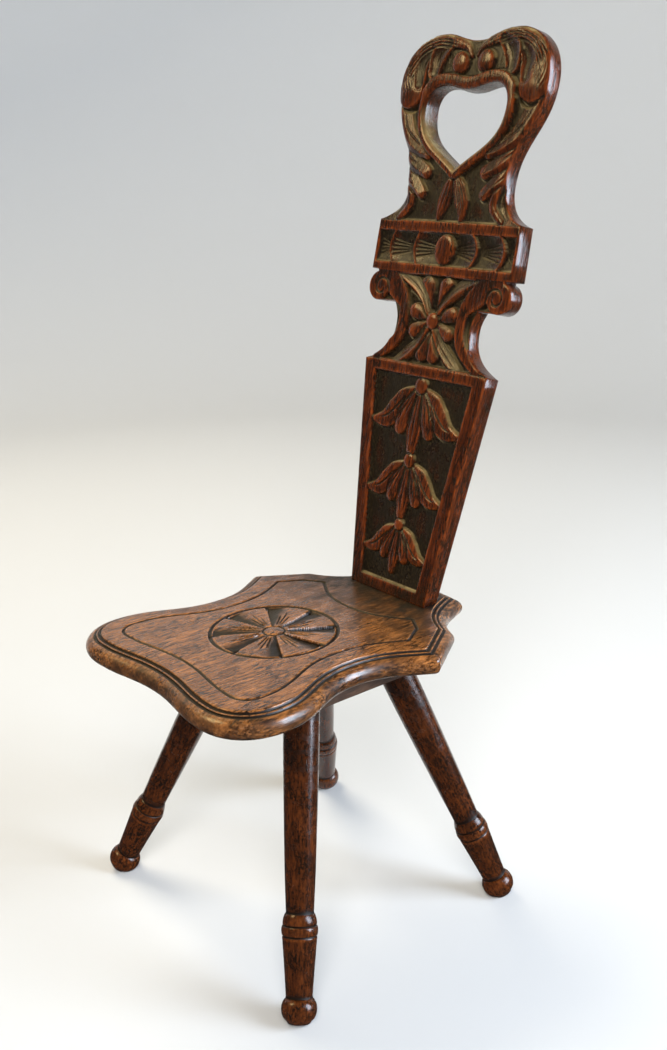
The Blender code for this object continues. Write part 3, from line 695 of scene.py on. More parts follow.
def make_age() -> bpy.types.NodeTree:
    """Make the old surface: dirt and painted shade in hollows, rubbed high places, fine dusting in deep hollows, a
    painted gold highlight on sunk slopes that look up, and uneven wax.

    Returns:
        The node group.
    """
    takes = [("Place", "NodeSocketVector"), ("Recess", "NodeSocketFloat"), ("Wear", "NodeSocketFloat"),
             ("Upward_sheen", "NodeSocketFloat")]
    nodes, given = start_group(Effect.AGE.value, takes, ["Grime", "Rub", "Dust", "Wax", "Scuff"])
    place, recess, wear, upward_sheen = (given.outputs[k] for k in ("Place", "Recess", "Wear", "Upward_sheen"))
    patchy = nodes.noise(place, (55, 55, 40), 4)
    fine = nodes.noise(place, (420, 420, 300), 3)
    # grime and painted shade, more the deeper a place lies in a hollow, patchy
    dirt = nodes.math("ADD", recess, nodes.remap(patchy, 0.3, 0.7, -0.25, 0.25))
    grime_and_shade = nodes.remap(dirt, 0.12, 0.75)
    rub = nodes.math("MULTIPLY", nodes.remap(wear, 0.10, 0.75), nodes.remap(patchy, 0.28, 0.60, 0.35, 1.0))
    # fine dusting in deep hollows, and the painted gold highlight on sunk slopes that look up
    dust_and_sheen = nodes.math("MULTIPLY", nodes.remap(recess, 0.45, 0.95, 0.0, 0.18), nodes.remap(fine, 0.48, 0.70))
    dust_and_sheen = nodes.math("MAXIMUM", dust_and_sheen, nodes.math("MULTIPLY", upward_sheen, nodes.remap(patchy, 0.30, 0.62, 0.2, 1.0)))
    wax = nodes.remap(nodes.math("ADD", nodes.math("MULTIPLY", patchy, 0.6),
                                 nodes.math("MULTIPLY", fine, 0.4)), 0.34, 0.66)
    scuff = nodes.remap(nodes.noise(place, (260, 260, 60), 4), 0.35, 0.68)
    nodes.add("NodeGroupOutput", {"Grime": grime_and_shade, "Rub": rub, "Dust": dust_and_sheen, "Wax": wax, "Scuff": scuff})
    return nodes.tree


def blank(name: str) -> tuple[bpy.types.Material, Nodes]:
    """Begin a material with no nodes.

    Args:
        name: The material's name.

    Returns:
        The material and its nodes' layer.
    """
    made = bpy.data.materials.new(name)
    made.use_nodes = True
    made.node_tree.nodes.clear()
    return made, Nodes(made.node_tree)


class Place(Enum):
    """Where a finish takes its place in the wood from."""

    PIECE = "the piece's own grain"
    BOARD = "a board that lies flat, fibres front to back"


STREAK_SHARE, SCUFF_SHARE = 0.6, 0.4  # of the wood's tone
BUMP_DEPTH = 0.0004
COAT_ROUGH = 0.14


@dataclass(frozen=True)
class OakFinish:
    """Dark waxed oak."""

    name: str
    dark: Colour
    light: Colour
    rubbed: Colour
    grime_and_shade: Colour
    dust_and_sheen: Colour
    dust_and_sheen_share: float
    pore_share: float
    fleck_share: float
    gloss: Point
    coat: float
    bump: float
    place: Place = Place.PIECE
    shine: float = 0.35
    figure_share: float = 0.7
    grime_rough: float = 0.34

    def make(self) -> bpy.types.Material:
        """Make the material.

        Returns:
            The material.
        """
        made, nodes = blank(self.name)
        if self.place is Place.PIECE:
            place = nodes.add("ShaderNodeAttribute", attribute_name="grain").outputs["Vector"]
        else:
            spot = nodes.add("ShaderNodeTexCoord").outputs["Object"]
            place = nodes.add("ShaderNodeMapping", {"Vector": spot, "Rotation": (math.pi / 2, 0, 0)}).outputs[0]
        held = {k.capitalize(): nodes.add("ShaderNodeAttribute", attribute_name=k).outputs["Fac"]
                for k in ("recess", "wear", "upward_sheen")}
        grain = nodes.add("ShaderNodeGroup", {"Place": place}, node_tree=Effect.GRAIN.tree()).outputs
        age = nodes.add("ShaderNodeGroup", {"Place": place, **held}, node_tree=Effect.AGE.tree()).outputs
        tone = nodes.math("ADD", nodes.math("MULTIPLY", grain["Streaks"], STREAK_SHARE),
                          nodes.math("MULTIPLY", age["Scuff"], SCUFF_SHARE))
        bare = nodes.math("MULTIPLY", age["Rub"], nodes.remap(grain["Streaks"], 0.0, 1.0, 0.30, 0.95))
        body = nodes.mix(tone, self.dark, self.light)
        body = nodes.layer(body, grain["Figure"], self.figure_share, self.dark)
        body = nodes.mix(bare, body, self.rubbed)
        body = nodes.layer(body, grain["Flecks"], self.fleck_share, self.grime_and_shade)
        body = nodes.layer(body, grain["Pores"], self.pore_share, self.grime_and_shade)
        # painted shade and grime in hollows and near the joints
        body = nodes.mix(age["Grime"], body, self.grime_and_shade)
        # painted gold highlight on sunk slopes that look up, with fine dusting in deep hollows
        body = nodes.layer(body, age["Dust"], self.dust_and_sheen_share, self.dust_and_sheen)
        rough = nodes.remap(age["Wax"], 0.0, 1.0, *self.gloss)
        rough = nodes.math("ADD", rough, nodes.math("MULTIPLY", age["Grime"], self.grime_rough))
        chips = nodes.math("MULTIPLY", age["Scuff"], nodes.remap(age["Grime"], 0.0, 1.0, 0.5, 1.1))
        normal = nodes.add("ShaderNodeBump", {"Height": nodes.math("ADD", grain["Height"], chips),
                                              "Strength": self.bump, "Distance": BUMP_DEPTH}).outputs[0]
        coat = nodes.remap(age["Grime"], 0.0, 0.8, self.coat, 0.0) if self.coat else 0.0
        shader = nodes.add("ShaderNodeBsdfPrincipled", {
            "Base Color": body, "Roughness": rough, "Normal": normal, "Coat Weight": coat,
            "Coat Roughness": COAT_ROUGH, "Specular IOR Level": self.shine})
        nodes.add("ShaderNodeOutputMaterial", {"Surface": shader.outputs[0]})
        return made


@dataclass(frozen=True)
class IronFinish:
    """Old blackened iron."""

    name: str
    metal: Colour
    rust: Colour

    def make(self) -> bpy.types.Material:
        """Make the material.

        Returns:
            The material.
        """
        made, nodes = blank(self.name)
        place = nodes.add("ShaderNodeTexCoord").outputs["Object"]
        age = nodes.add("ShaderNodeGroup", {"Place": place}, node_tree=Effect.AGE.tree())
        body = nodes.mix(age.outputs["Wax"], self.metal, self.rust)
        rough = nodes.remap(age.outputs["Scuff"], 0.0, 1.0, 0.42, 0.72)
        metal = nodes.remap(age.outputs["Wax"], 0.2, 0.9, 0.95, 0.35)
        normal = nodes.add("ShaderNodeBump", {"Height": age.outputs["Scuff"], "Strength": 0.3,
                                              "Distance": 0.0002}).outputs[0]
        shader = nodes.add("ShaderNodeBsdfPrincipled", {"Base Color": body, "Roughness": rough,
                                                        "Metallic": metal, "Normal": normal})
        nodes.add("ShaderNodeOutputMaterial", {"Surface": shader.outputs[0]})
        return made


# grime colours, which also serve as painted shade in hollows
BLACK_BROWN: Colour = (0.0070, 0.0034, 0.0017)
OLIVE_BROWN: Colour = (0.0100, 0.0060, 0.0027)
DUST: Colour = (0.170, 0.125, 0.056)
# painted gold highlight for the back's up-facing sunk slopes, also used for the fine dusting in its hollows
GOLD_SHEEN_AND_DUST: Colour = (0.330, 0.235, 0.092)
BACK_FINISH = OakFinish(
    "dark_oak", (0.011, 0.0029, 0.0010), (0.125, 0.0240, 0.0042), (0.290, 0.056, 0.0082), OLIVE_BROWN, GOLD_SHEEN_AND_DUST,
    dust_and_sheen_share=0.80, pore_share=0.80, fleck_share=0.92, gloss=(0.11, 0.26), coat=0.16, bump=0.50, shine=0.42,
    figure_share=0.8, grime_rough=0.13)
SEAT_FINISH = OakFinish(
    "seat_oak", (0.070, 0.0225, 0.0060), (0.490, 0.1880, 0.0520), (0.490, 0.188, 0.0520), BLACK_BROWN, DUST,
    dust_and_sheen_share=0.15, pore_share=0.90, fleck_share=0.95, gloss=(0.15, 0.32), coat=0.48, bump=0.45, shine=0.5,
    figure_share=0.5, grime_rough=0.22)
LEG_FINISH = OakFinish(
    "leg_oak", (0.015, 0.0043, 0.0015), (0.110, 0.0270, 0.0054), (0.180, 0.046, 0.0088), BLACK_BROWN, DUST,
    dust_and_sheen_share=0.10, pore_share=0.70, fleck_share=0.90, gloss=(0.12, 0.27), coat=0.15, bump=0.30, figure_share=0.6)
BATTEN_FINISH = OakFinish(
    "batten_oak", (0.040, 0.018, 0.009), (0.105, 0.050, 0.024), (0.130, 0.062, 0.030), (0.014, 0.008, 0.005), DUST,
    dust_and_sheen_share=0.30, pore_share=0.70, fleck_share=0.5, gloss=(0.50, 0.68), coat=0.0, bump=0.40, place=Place.BOARD)
WEDGE_FINISH = replace(
    BATTEN_FINISH, name="wedge_oak", dark=(0.060, 0.030, 0.015), light=(0.150, 0.080, 0.040),
    rubbed=(0.17, 0.09, 0.045), grime_and_shade=(0.020, 0.011, 0.006), fleck_share=0.4)
IRON_FINISH = IronFinish("screw_iron", (0.055, 0.052, 0.050), (0.050, 0.022, 0.012))


# ---------------------------------------------------------------- sub-assemblies

CHAIR_MIDDLE = 76.5673
SEAT_TOP, SEAT_THICK = 337.0, 25.5
BACK_FOOT, RAKE = 162.6, math.radians(12.5)
TENON_HALF, TENON_FRONT, TENON_THICK = 46.0, 3.0, 15.0
GAP = 0.3  # between neighbouring pieces


@dataclass
class Board:
    """A board with a carved face; its places are given on that face (millimetres)."""

    grain_shift: float = 0.0

    def place(self, flat: np.ndarray, level: np.ndarray | float) -> np.ndarray:
        """Turn places on the face, each at a level from it, into places on the chair in metres."""
        raise NotImplementedError

    def add(self, shell: Shell, flat: np.ndarray, level: np.ndarray | float, recess: np.ndarray | float,
            wear: np.ndarray | float, upward_sheen: np.ndarray | float = 0.0) -> np.ndarray:
        """Add places at levels from the face to a mesh, with dirt and painted shade, wear and painted highlight, and
        return their numbers.
        """
        grain = np.column_stack([flat[:, 0] + self.grain_shift, np.broadcast_to(level, len(flat)), flat[:, 1]]) * MM
        return shell.add(self.place(flat, level), grain, recess, wear, upward_sheen)

    def wall(self, shell: Shell, ring: np.ndarray, rows: Sequence[tuple]) -> np.ndarray:
        """Run rings of places on from a ring, each joined to the last.

        Args:
            shell: The mesh.
            ring: Numbers of the first ring's points.
            rows: What add takes for each further ring.

        Returns:
            Numbers of the last ring's points.
        """
        for row in rows:
            fresh = self.add(shell, *row)
            shell.bridge(ring, fresh)
            ring = fresh
        return ring

    def close(self, shell: Shell, rings: Sequence[np.ndarray], loops: Sequence[np.ndarray], level: float,
              recess: float, grid: tuple[range, range], margin: float) -> None:
        """Fill the plain side opposite the face.

        Args:
            shell: The mesh.
            rings: Numbers of the points on the side's edge, then on its hole.
            loops: The places of the same points.
            level: How far the side lies from the face.
            recess: How deep in a hollow it counts as.
            grid: Places across and along for points between.
            margin: How far those keep from the edges.
        """
        across, along = np.meshgrid(*grid)
        keep = (depth_in(across, along, loops[0]) > margin) & (depth_in(across, along, loops[1]) < -margin)
        spots = np.column_stack([across[keep], along[keep]]).astype(float)
        added = self.add(shell, spots, level, recess, 0.0)
        shell.fill(np.concatenate([*rings, added])[triangulated(loops, spots)][:, ::-1])


@dataclass
class CarvedBack(Board):
    """The raked, carved plank back (millimetres; x across, s up its face, levels behind it)."""

    foot_y: float = BACK_FOOT - CHAIR_MIDDLE
    thick: float = 21.0
    round_edge: float = 1.3
    heart_round: float = 4.5
    pitch: float = 0.86
    volute: Point = (94.5, 349.5)
    volute_radius: float = 17.0
    ground: float = -4.8
    scrolls: Point = (265.5, 367.5)
    handle_foot: float = 424.6
    first_bead: float = 244.0
    handle_wear: float = 0.52
    border_wear: float = 0.20
    edge_wear: float = 0.45
    side_wear: float = 0.21

    def outline(self) -> np.ndarray:
        """Draw the board's edge.

        Returns:
            Its points in order.
        """
        around = np.radians(np.linspace(75, -100, 22))
        scroll = np.column_stack([self.volute[0] + self.volute_radius * np.cos(around),
                                  self.volute[1] + self.volute_radius * np.sin(around)])
        half = np.vstack([
            flow([((0, 619), 0), ((54, 628.5), 0), ((110, 573), -90), ((74.5, 468), -90), ((108.8, 425.5), -15)], 22),
            [(109.3, 406.5), (109.8, 387.5), (110.3, 368.5), scroll[0] + (0, 1.8)], scroll,
            flow([((66.5, 333.5), -118), ((59, 310), -90), ((97.5, 264.5), -22)], 16),
            np.column_stack([np.linspace(97.5, 62.4, 22)[1:], np.linspace(264.5, 0, 22)[1:]])])
        return mirrored(half)

    def heart(self) -> np.ndarray:
        """Return the edge of the heart-shaped hand-hold."""
        return mirrored(flow([((0, 566), 0), ((38, 571.5), 0), ((60.8, 548), -90), ((0, 481.5), -142)], 20))

    def place(self, flat: np.ndarray, level: np.ndarray | float) -> np.ndarray:
        """Turn places on the board into places on the chair.

        Args:
            flat: Places on the face.
            level: How far each lies behind it.

        Returns:
            Places in metres.
        """
        s = np.maximum(flat[:, 1], level * math.tan(RAKE) + GAP)
        y = self.foot_y + s * math.sin(RAKE) + level * math.cos(RAKE)
        z = SEAT_TOP + s * math.cos(RAKE) - level * math.sin(RAKE)
        return np.column_stack([flat[:, 0], y, z]) * MM

    def carve_handle(self, relief: Relief, edge: np.ndarray) -> None:
        """Carve the scrolling leaves and the heart's moulding on the handle.

        Args:
            relief: The board's face.
            edge: How far inside the board's outline each place lies.
        """
        below = relief.height.copy()
        upper = relief.y > self.handle_foot
        relief.height += (self.ground - relief.height) * ease((relief.y - self.handle_foot) / 2.5)
        relief.carve_pairs([
            Leaf([(86, 494), (79, 469), (81, 447), (98, 428)], (9, 12, 16, 18), (-3.2, -4.4, -4.4, -1.2), 3.0,
                 Section.HOLLOW),
            Leaf([(74, 478), (65, 456), (65, 441), (80, 427)], (4, 5.5, 5.5, 4), (-1.4, -0.8, -1.0, -2), 1.7),
            Leaf([(90, 508), (77, 484), (62, 468), (48, 456)], (8, 10, 9.5, 7), (-2.8, -2.4, -1.6, -0.6), 2.4,
                 Section.RIDGE, lean=0.4),
            Leaf([(98, 534), (86, 508), (66, 490), (45, 479)], (10, 12.5, 10.5, 7.5), (-2.7, -2.3, -1.5, -0.5), 2.6,
                 Section.RIDGE, lean=0.4),
            Leaf([(100, 575), (97, 545), (84, 520), (64, 506), (46, 498.5)], (7, 12.5, 12, 9.5, 6.5),
                 (-4.8, -3.8, -2.0, -1.0, -0.4), 2.6, Section.RIDGE, lean=0.4),
            Leaf([(5, 602), (13, 612), (32, 619), (60, 616), (86, 601), (97, 583), (91, 568)],
                 (3, 6, 8, 12, 15, 17.5, 19), (-3.2, -2.2, -1.8, -1.4, -0.8, -0.5, -0.2), 1.5, veins=9, vein_cut=0.9),
            Leaf([(66, 612), (79, 597), (79, 577)], (6, 10.5, 8), (-3.0, -3.0, -2.6), 3.2, Section.HOLLOW, lean=-0.2),
            Leaf([(40, 617), (54, 605), (58, 588)], (7, 12, 9), (-3.2, -3.2, -2.8), 3.4, Section.HOLLOW, lean=-0.2),
        ])
        for vein in (((98, 552), (87, 528), (68, 513), (54, 505)), ((93, 520), (80, 500), (60, 487)),
                     ((84, 490), (73, 474), (60, 463)), ((103, 542), (95, 519), (87, 497), (80, 476)),
                     ((78, 470), (71, 452), (76, 436)), ((86, 470), (80, 450), (88, 435)),
                     ((44, 612), (53, 604), (56, 592)), ((68, 606), (76, 595), (76, 583))):
            relief.gouge_pair(vein, 2.6, 1.0)
        relief.gouge_pair(((71, 559), (80, 550), (91, 546.5), (102, 550)), 6.5, 3.2)
        for distance in (6.5, 10.0, 13.5):
            line = inset(self.outline(), distance)
            relief.gouge_pair(line[(line[:, 0] > 20) & (line[:, 1] > 566)][::4], 2.3, 1.3, 0.2)
        relief.carve(Leaf([(-2, 479), (-8, 457), (-13, 441), (-16, 430)], (2, 8, 9, 4), (-0.8, -1.2, -1.6, -2.2), 1.8,
                          veins=3, vein_cut=0.7))
        relief.carve(Leaf([(2, 479), (12, 457), (18, 441), (19, 429)], (2, 9, 10, 4), (-0.8, -1.0, -1.4, -2.0), 1.8,
                          veins=5, vein_cut=0.8))
        for side in (-1, 1):
            relief.knob((19 * side, 595.0), (12.4, 12.6), -2.6, 1.8, 2.8)
        relief.gouge_pair(((27, 588), (31, 597), (26, 606), (16, 608)), 2.2, 0.7)
        # the heart's rolled border, wider over its lobes
        gap = np.abs(depth_in(relief.x, relief.y, self.heart()))
        band = 10.0 + 3.4 * ease((relief.y - 558) / 12)
        over = gap - band
        trench = relief.height - 1.2 * unit(1 - np.abs(over) / 2.2) * upper
        roll = 2.2 + 0.8 * (1 - unit(np.abs(2 * gap / band - 1)) ** 3)
        relief.height = trench + (roll - trench) * ease(0.5 - over / 1.5)
        # the handle's rounded outer edge
        drop = 3.4 * (1 - np.sqrt(unit(1 - (1 - np.clip(edge, 0, 9) / 9) ** 2)))
        relief.height -= drop * ease((relief.y - 430) / 8)
        relief.height = np.where(upper, relief.height, below)

    def carve_frieze(self, relief: Relief) -> None:
        """Carve the trough of overlapping husks either side of the oval boss.

        Args:
            relief: The board's face.
        """
        middle, half, end, boss, husk = 395.5, 18.6, 106.5, 2.0, 40.0
        rims = 10.0 + husk * np.arange(4)
        v = (relief.y - middle) / half
        trough = (np.abs(v) < 1.0) & (np.abs(relief.x) < end)
        cove = -1.6 - 5.4 * np.sqrt(unit(1 - v * v))
        bulge = np.abs(relief.x - boss) + 8.0 * v * v
        start = np.searchsorted(rims, bulge.ravel()).reshape(bulge.shape)
        past = bulge - rims[np.clip(start - 1, 0, 3)]
        face = np.where(start > 0, cove + 4.8 * unit(past / husk) ** 2 * (1 - 0.4 * v * v), cove)
        face = face + 0.9 * unit(1 - np.abs(past - husk + 1.8) / 1.8)
        ends = ease((end - np.abs(relief.x)) / 1.5) * ease((1 - np.abs(v)) * half / 1.2)
        relief.height = np.where(trough, relief.height + (face - relief.height) * ends, relief.height)
        for side in (-1, 1):
            for rim in rims[:3]:
                for fan in (-10.0, -5.0, 0.0, 5.0, 10.0):
                    near, far = rim + 3.0, min(rim + 37.0 - 0.25 * abs(fan), 105.0 - boss * side)
                    relief.gouge([(boss + side * near, middle + 0.3 * fan),
                                  (boss + side * 0.5 * (near + far), middle + 0.65 * fan),
                                  (boss + side * far, middle + fan)], 2.4, 1.5, 0.12)
        relief.knob((boss, middle), (14.8, 17.2), -2.6, 0.2, 4.0)

    def carve_scrolls(self, relief: Relief, edge: np.ndarray) -> None:
        """Carve the flower between the C-scrolls, and the scrolls' volutes.

        Args:
            relief: The board's face.
            edge: How far inside the board's outline each place lies.
        """
        zone = (relief.y > self.scrolls[0]) & (relief.y < self.scrolls[1])
        inner = mirrored(np.vstack([
            [(0, 366.8)], flow([((64, 366.0), -140), ((39.0, 313), -90), ((74, 267.0), -32)], 24), [(0, 266.8)]]))
        around = relief.height.copy()
        relief.height = np.where(zone, -0.7, relief.height)
        relief.sink(inner, self.ground - 2.2, 1.0)
        from_band = -depth_in(relief.x, relief.y, inner)
        out = np.abs(relief.x)
        reach = np.hypot(out - self.volute[0], relief.y - self.volute[1])
        cove = ease((from_band - 12.6) / 1.2) * zone
        cove = cove * ease((reach - self.volute_radius + 0.5) / 1.6)
        cove = cove * ease((331.0 + 0.6 * (out - 57) - relief.y) / 3)
        slope = -6.6 + 2.6 * ease(1 - edge / 6)
        relief.height += (slope - relief.height) * cove
        turn, radii = np.radians(np.linspace(185, -215, 22)), np.linspace(12.8, 3.6, 22)
        eye = np.column_stack([90 + radii * np.cos(turn), 348 + radii * np.sin(turn)])
        relief.gouge_pair(np.vstack([[(69.5, 331.0), (74.5, 339.0)], eye]), 3.0, 2.2, 0.1)
        band = relief.height.copy()
        relief.carve_pairs([
            Leaf(spine, widths, (-4.8, -3.4, tip), crown, trench=1.6) for spine, widths, tip, crown in (
                ([(6, 333), (12, 346), (15, 355)], (3, 9, 11.5), -2.6, 2.2),
                ([(4, 304), (7, 290), (9, 280)], (3, 8, 10), -2.6, 2.0),
                ([(10, 319), (22, 324), (29, 326)], (3, 8, 9), -2.4, 2.2),
                ([(10, 314), (19, 308), (27, 304)], (3, 7.5, 8.5), -2.6, 2.2))])
        relief.carve_pairs([
            Leaf(spine, widths, (-4.4, -5.2, -5.2, -4.8), 4.2, Section.RIDGE, veins=3, vein_cut=0.4, trench=1.4,
                 lean=-0.5) for spine, widths in (
                ([(6, 324), (18, 341), (35, 355), (60, 366)], (4, 7.5, 9.5, 7)),
                ([(5, 309), (17, 292), (32, 278), (49, 266)], (4, 7.5, 9, 6.5)))])
        relief.knob((1.5, 317.0), (9.6, 9.6), -2.8, 0.8)
        relief.height = band + (relief.height - band) * ease(-from_band / 0.9)
        relief.height = np.where(zone, relief.height, around)

    def carve_bellflower(self, relief: Relief, bead: float, size: float) -> None:
        """Carve a bellflower and its bead.

        Args:
            relief: The board's face.
            bead: Height of the bead's middle.
            size: Size against the first flower.
        """
        def at(*points: Point) -> list[Point]:
            """Place points that are drawn for the first flower."""
            return [(x * size, bead + (y - self.first_bead) * size) for x, y in points]

        def sized(*values: float) -> tuple[float, ...]:
            """Scale widths that are drawn for the first flower."""
            return tuple(v * size for v in values)

        relief.carve_pairs([
            Leaf(at((8, 237), (22, 227), (35, 211), (49, 199.5), (67, 196)), sized(6, 13, 14.5, 11, 4.5),
                 (-3.4, -2.2, -1.6, -1.8, -2.2), 1.7, trench=1.2, lean=0.2),
            Leaf(at((6, 234), (14, 217), (20, 203), (23, 193)), sized(6, 10.5, 12, 8.5),
                 (-4.2, -2.8, -1.8, -1.6), 2.0),
        ])
        for wide, cut, *vein in ((3.2, 1.8, (17, 233), (34, 214), (47, 203), (60, 199)),
                                 (2.3, 0.9, (13, 228), (24, 212), (33, 199)),
                                 (2.3, 0.9, (8, 230), (15, 213), (20, 195)),
                                 (2.8, 1.5, (12, 230), (21, 214), (26, 199))):
            relief.gouge_pair(at(*vein), wide, cut)
        relief.carve(Leaf(at((0, 235), (0, 211), (0, 188), (0, 170)), sized(5, 8.5, 11, 6.5),
                          (-4.4, -2.4, -1.4, -1.6), 2.0, veins=3, vein_cut=0.8))
        relief.knob((0.5, bead), sized(10.2, 10.2), -3.0, 0.3)

    def carve_panel(self, relief: Relief) -> None:
        """Sink the tapered panel and leave its three bellflowers standing.

        Args:
            relief: The board's face.
        """
        panel = np.array([(-79.2, 254), (79.2, 254), (47.0, 13.5), (-47.0, 13.5)])
        relief.sink(panel, self.ground, 1.8)
        border = relief.height.copy()
        for bead, size in ((self.first_bead, 1.0), (158.0, 0.87), (83.0, 0.74)):
            self.carve_bellflower(relief, bead, size)
        relief.height = border + (relief.height - border) * ease(depth_in(relief.x, relief.y, panel) / 1.2)

    def relief(self, outline: np.ndarray) -> Relief:
        """Carve the whole face.

        Args:
            outline: The board's edge.

        Returns:
            The carved face.
        """
        made = Relief((-113.0, -1.0), (113.0, 631.0), self.pitch)
        edge = depth_in(made.x, made.y, outline)
        self.carve_panel(made)
        self.carve_scrolls(made, edge)
        self.carve_frieze(made)
        self.carve_handle(made, edge)
        made.height = 0.85 * made.height + 0.15 * blurred(made.height, 0.6)
        return made

    def weather(self, relief: Relief, flat: np.ndarray, rim: int) -> tuple[np.ndarray, np.ndarray, np.ndarray]:
        """Judge how the carved face has aged, and where it takes painted shade and painted highlight.

        Args:
            relief: The carved face.
            flat: Places on it, those on its edges first.
            rim: Number of places on its edges.

        Returns:
            How deep in a hollow each place lies, with painted shade added near the seat, how worn it is and how much
            painted gold highlight it takes.
        """
        s, height = flat[:, 1], relief.sample(relief.height, flat)
        low, high = self.scrolls[0] + 0.5, self.scrolls[1] - 0.5
        worn = relief.sample(relief.wear(), flat) * np.where(s > self.handle_foot + 0.4, self.handle_wear, 1.0)
        worn = np.where((s < low) & (height > -0.2), np.maximum(worn, self.border_wear), worn)
        worn[:rim] = np.maximum(worn[:rim], self.edge_wear)
        # painted shade where the back meets the seat, darker towards the bottom of the board
        hollow = relief.sample(relief.recess(), flat) + 0.4 * unit(1 - s / 60)
        # painted gold highlight on sunk slopes that look up: sharp over most of the face, soft and weaker in the
        # scroll zone
        sharp, soft = (relief.sample(relief.upward_sheen(*span), flat) for span in ((0.4, 1.0), (0.05, 0.5)))
        dust_and_sheen = np.where((s > low) & (s < high), 0.36 * soft, sharp)
        # the painted gold highlight also lies in the coves outside the scrolls, towards their feet
        cove = (depth_in(flat[:, 0], s, self.outline()) < 9) & (height < -3.0) & (s > low + 1)
        return unit(hollow), worn, np.maximum(dust_and_sheen, 0.5 * cove * unit((322 - s) / 25))

    def walls(self, loop: np.ndarray, level: np.ndarray, hole: bool) -> list[tuple]:
        """Return the rings of places from the face's edge to the rear.

        Args:
            loop: The board's edge or the heart's.
            level: How far the face lies behind its own flat at each of the loop's points.
            hole: Whether the loop is the heart's.

        Returns:
            What add takes for each ring.
        """
        sign, shade, held, bend = 1, 0.1, 0.0, self.round_edge
        # inset, drop and wear of each ring
        edge = [(0.38 * bend, 0.38 * bend, 0.7), (0.0, bend, self.edge_wear)]
        if hole:
            # the heart's wall is painted darker as painted shade, and the part of it that looks up takes the painted
            # gold highlight
            sign, shade, bend = -1, 0.5, self.heart_round
            held = 0.7 * unit((inset(loop, 3.0) - loop)[:, 1] / 1.8 + 0.25)
            edge = [(bend * (1 - math.sin(a)), bend * (1 - math.cos(a)), 0.5 * math.cos(a))
                    for a in np.radians((22, 45, 68, 90))]
        rows = [(inset(loop, sign * out), level + drop, 0.5 if hole and not out else 0.05, rub, held)
                for out, drop, rub in [*edge, (0.0, 7.0, self.side_wear)]]
        return rows + [(inset(loop, sign * out), self.thick - left, shade, rub)
                       for out, left, rub in ((0.0, 1.6, self.side_wear), (0.3, 0.45, 0.5), (1.2, 0.0, 0.3))]

    def build(self) -> bpy.types.Object:
        """Build the carved board.

        Returns:
            The piece.
        """
        outline, heart, shell = self.outline(), self.heart(), Shell()
        relief = self.relief(outline)
        loops = [inset(outline, self.round_edge), inset(heart, -self.heart_round)]
        inner = relief.lattice(loops)
        flat = np.vstack([*loops, inner])
        height = relief.sample(relief.height, flat)
        numbers = self.add(shell, flat, -height, *self.weather(relief, flat, len(outline) + len(heart)))
        shell.fill(numbers[triangulated(loops, inner)])
        rings, rear = [], []
        for loop, first in ((outline, 0), (heart, len(outline))):
            span = slice(first, first + len(loop))
            rows = self.walls(loop, -height[span], loop is heart)
            rings.append(self.wall(shell, numbers[span], rows))
            rear.append(rows[-1][0])
        self.close(shell, rings, rear, self.thick, 0.1, (range(-105, 106, 10), range(5, 625, 10)), 3)
        return shell.build("carved_back")

    def build_tenon(self) -> bpy.types.Object:
        """Build the through tenon below the board, split by its two wedges.

        Returns:
            The piece.
        """
        shell = Shell()
        end, half, depth = -(SEAT_THICK - 0.1) / math.cos(RAKE), TENON_HALF, 16.5
        line: list[Point] = [(-half, 1.0), (-half, end)]
        wide, point = 2.1, 0.9  # half widths of a wedge's slot
        for x in (-24.0, 24.0):
            line += [(x - wide, end), (x - point, end + depth), (x + point, end + depth), (x + wide, end)]
        line += [(half, end), (half, 1.0)]
        loop = np.array(line)
        rings = []
        for behind in (TENON_FRONT + 0.2, TENON_FRONT + TENON_THICK - 0.2):
            y = self.foot_y + loop[:, 1] * math.sin(RAKE) + behind / math.cos(RAKE)
            z = SEAT_TOP + loop[:, 1] * math.cos(RAKE)
            places = np.column_stack([loop[:, 0], y, z]) * MM
            grain = np.column_stack([loop[:, 0], np.full(len(loop), behind), loop[:, 1]]) * MM
            rings.append(shell.add(places, grain, 0.2, 0.0))
        shell.bridge(rings[0], rings[1])
        faces = triangulated([loop], np.zeros((0, 2)))
        shell.fill(rings[0][faces])
        shell.fill(rings[1][faces][:, ::-1])
        return shell.build("back_tenon", sharp=30)


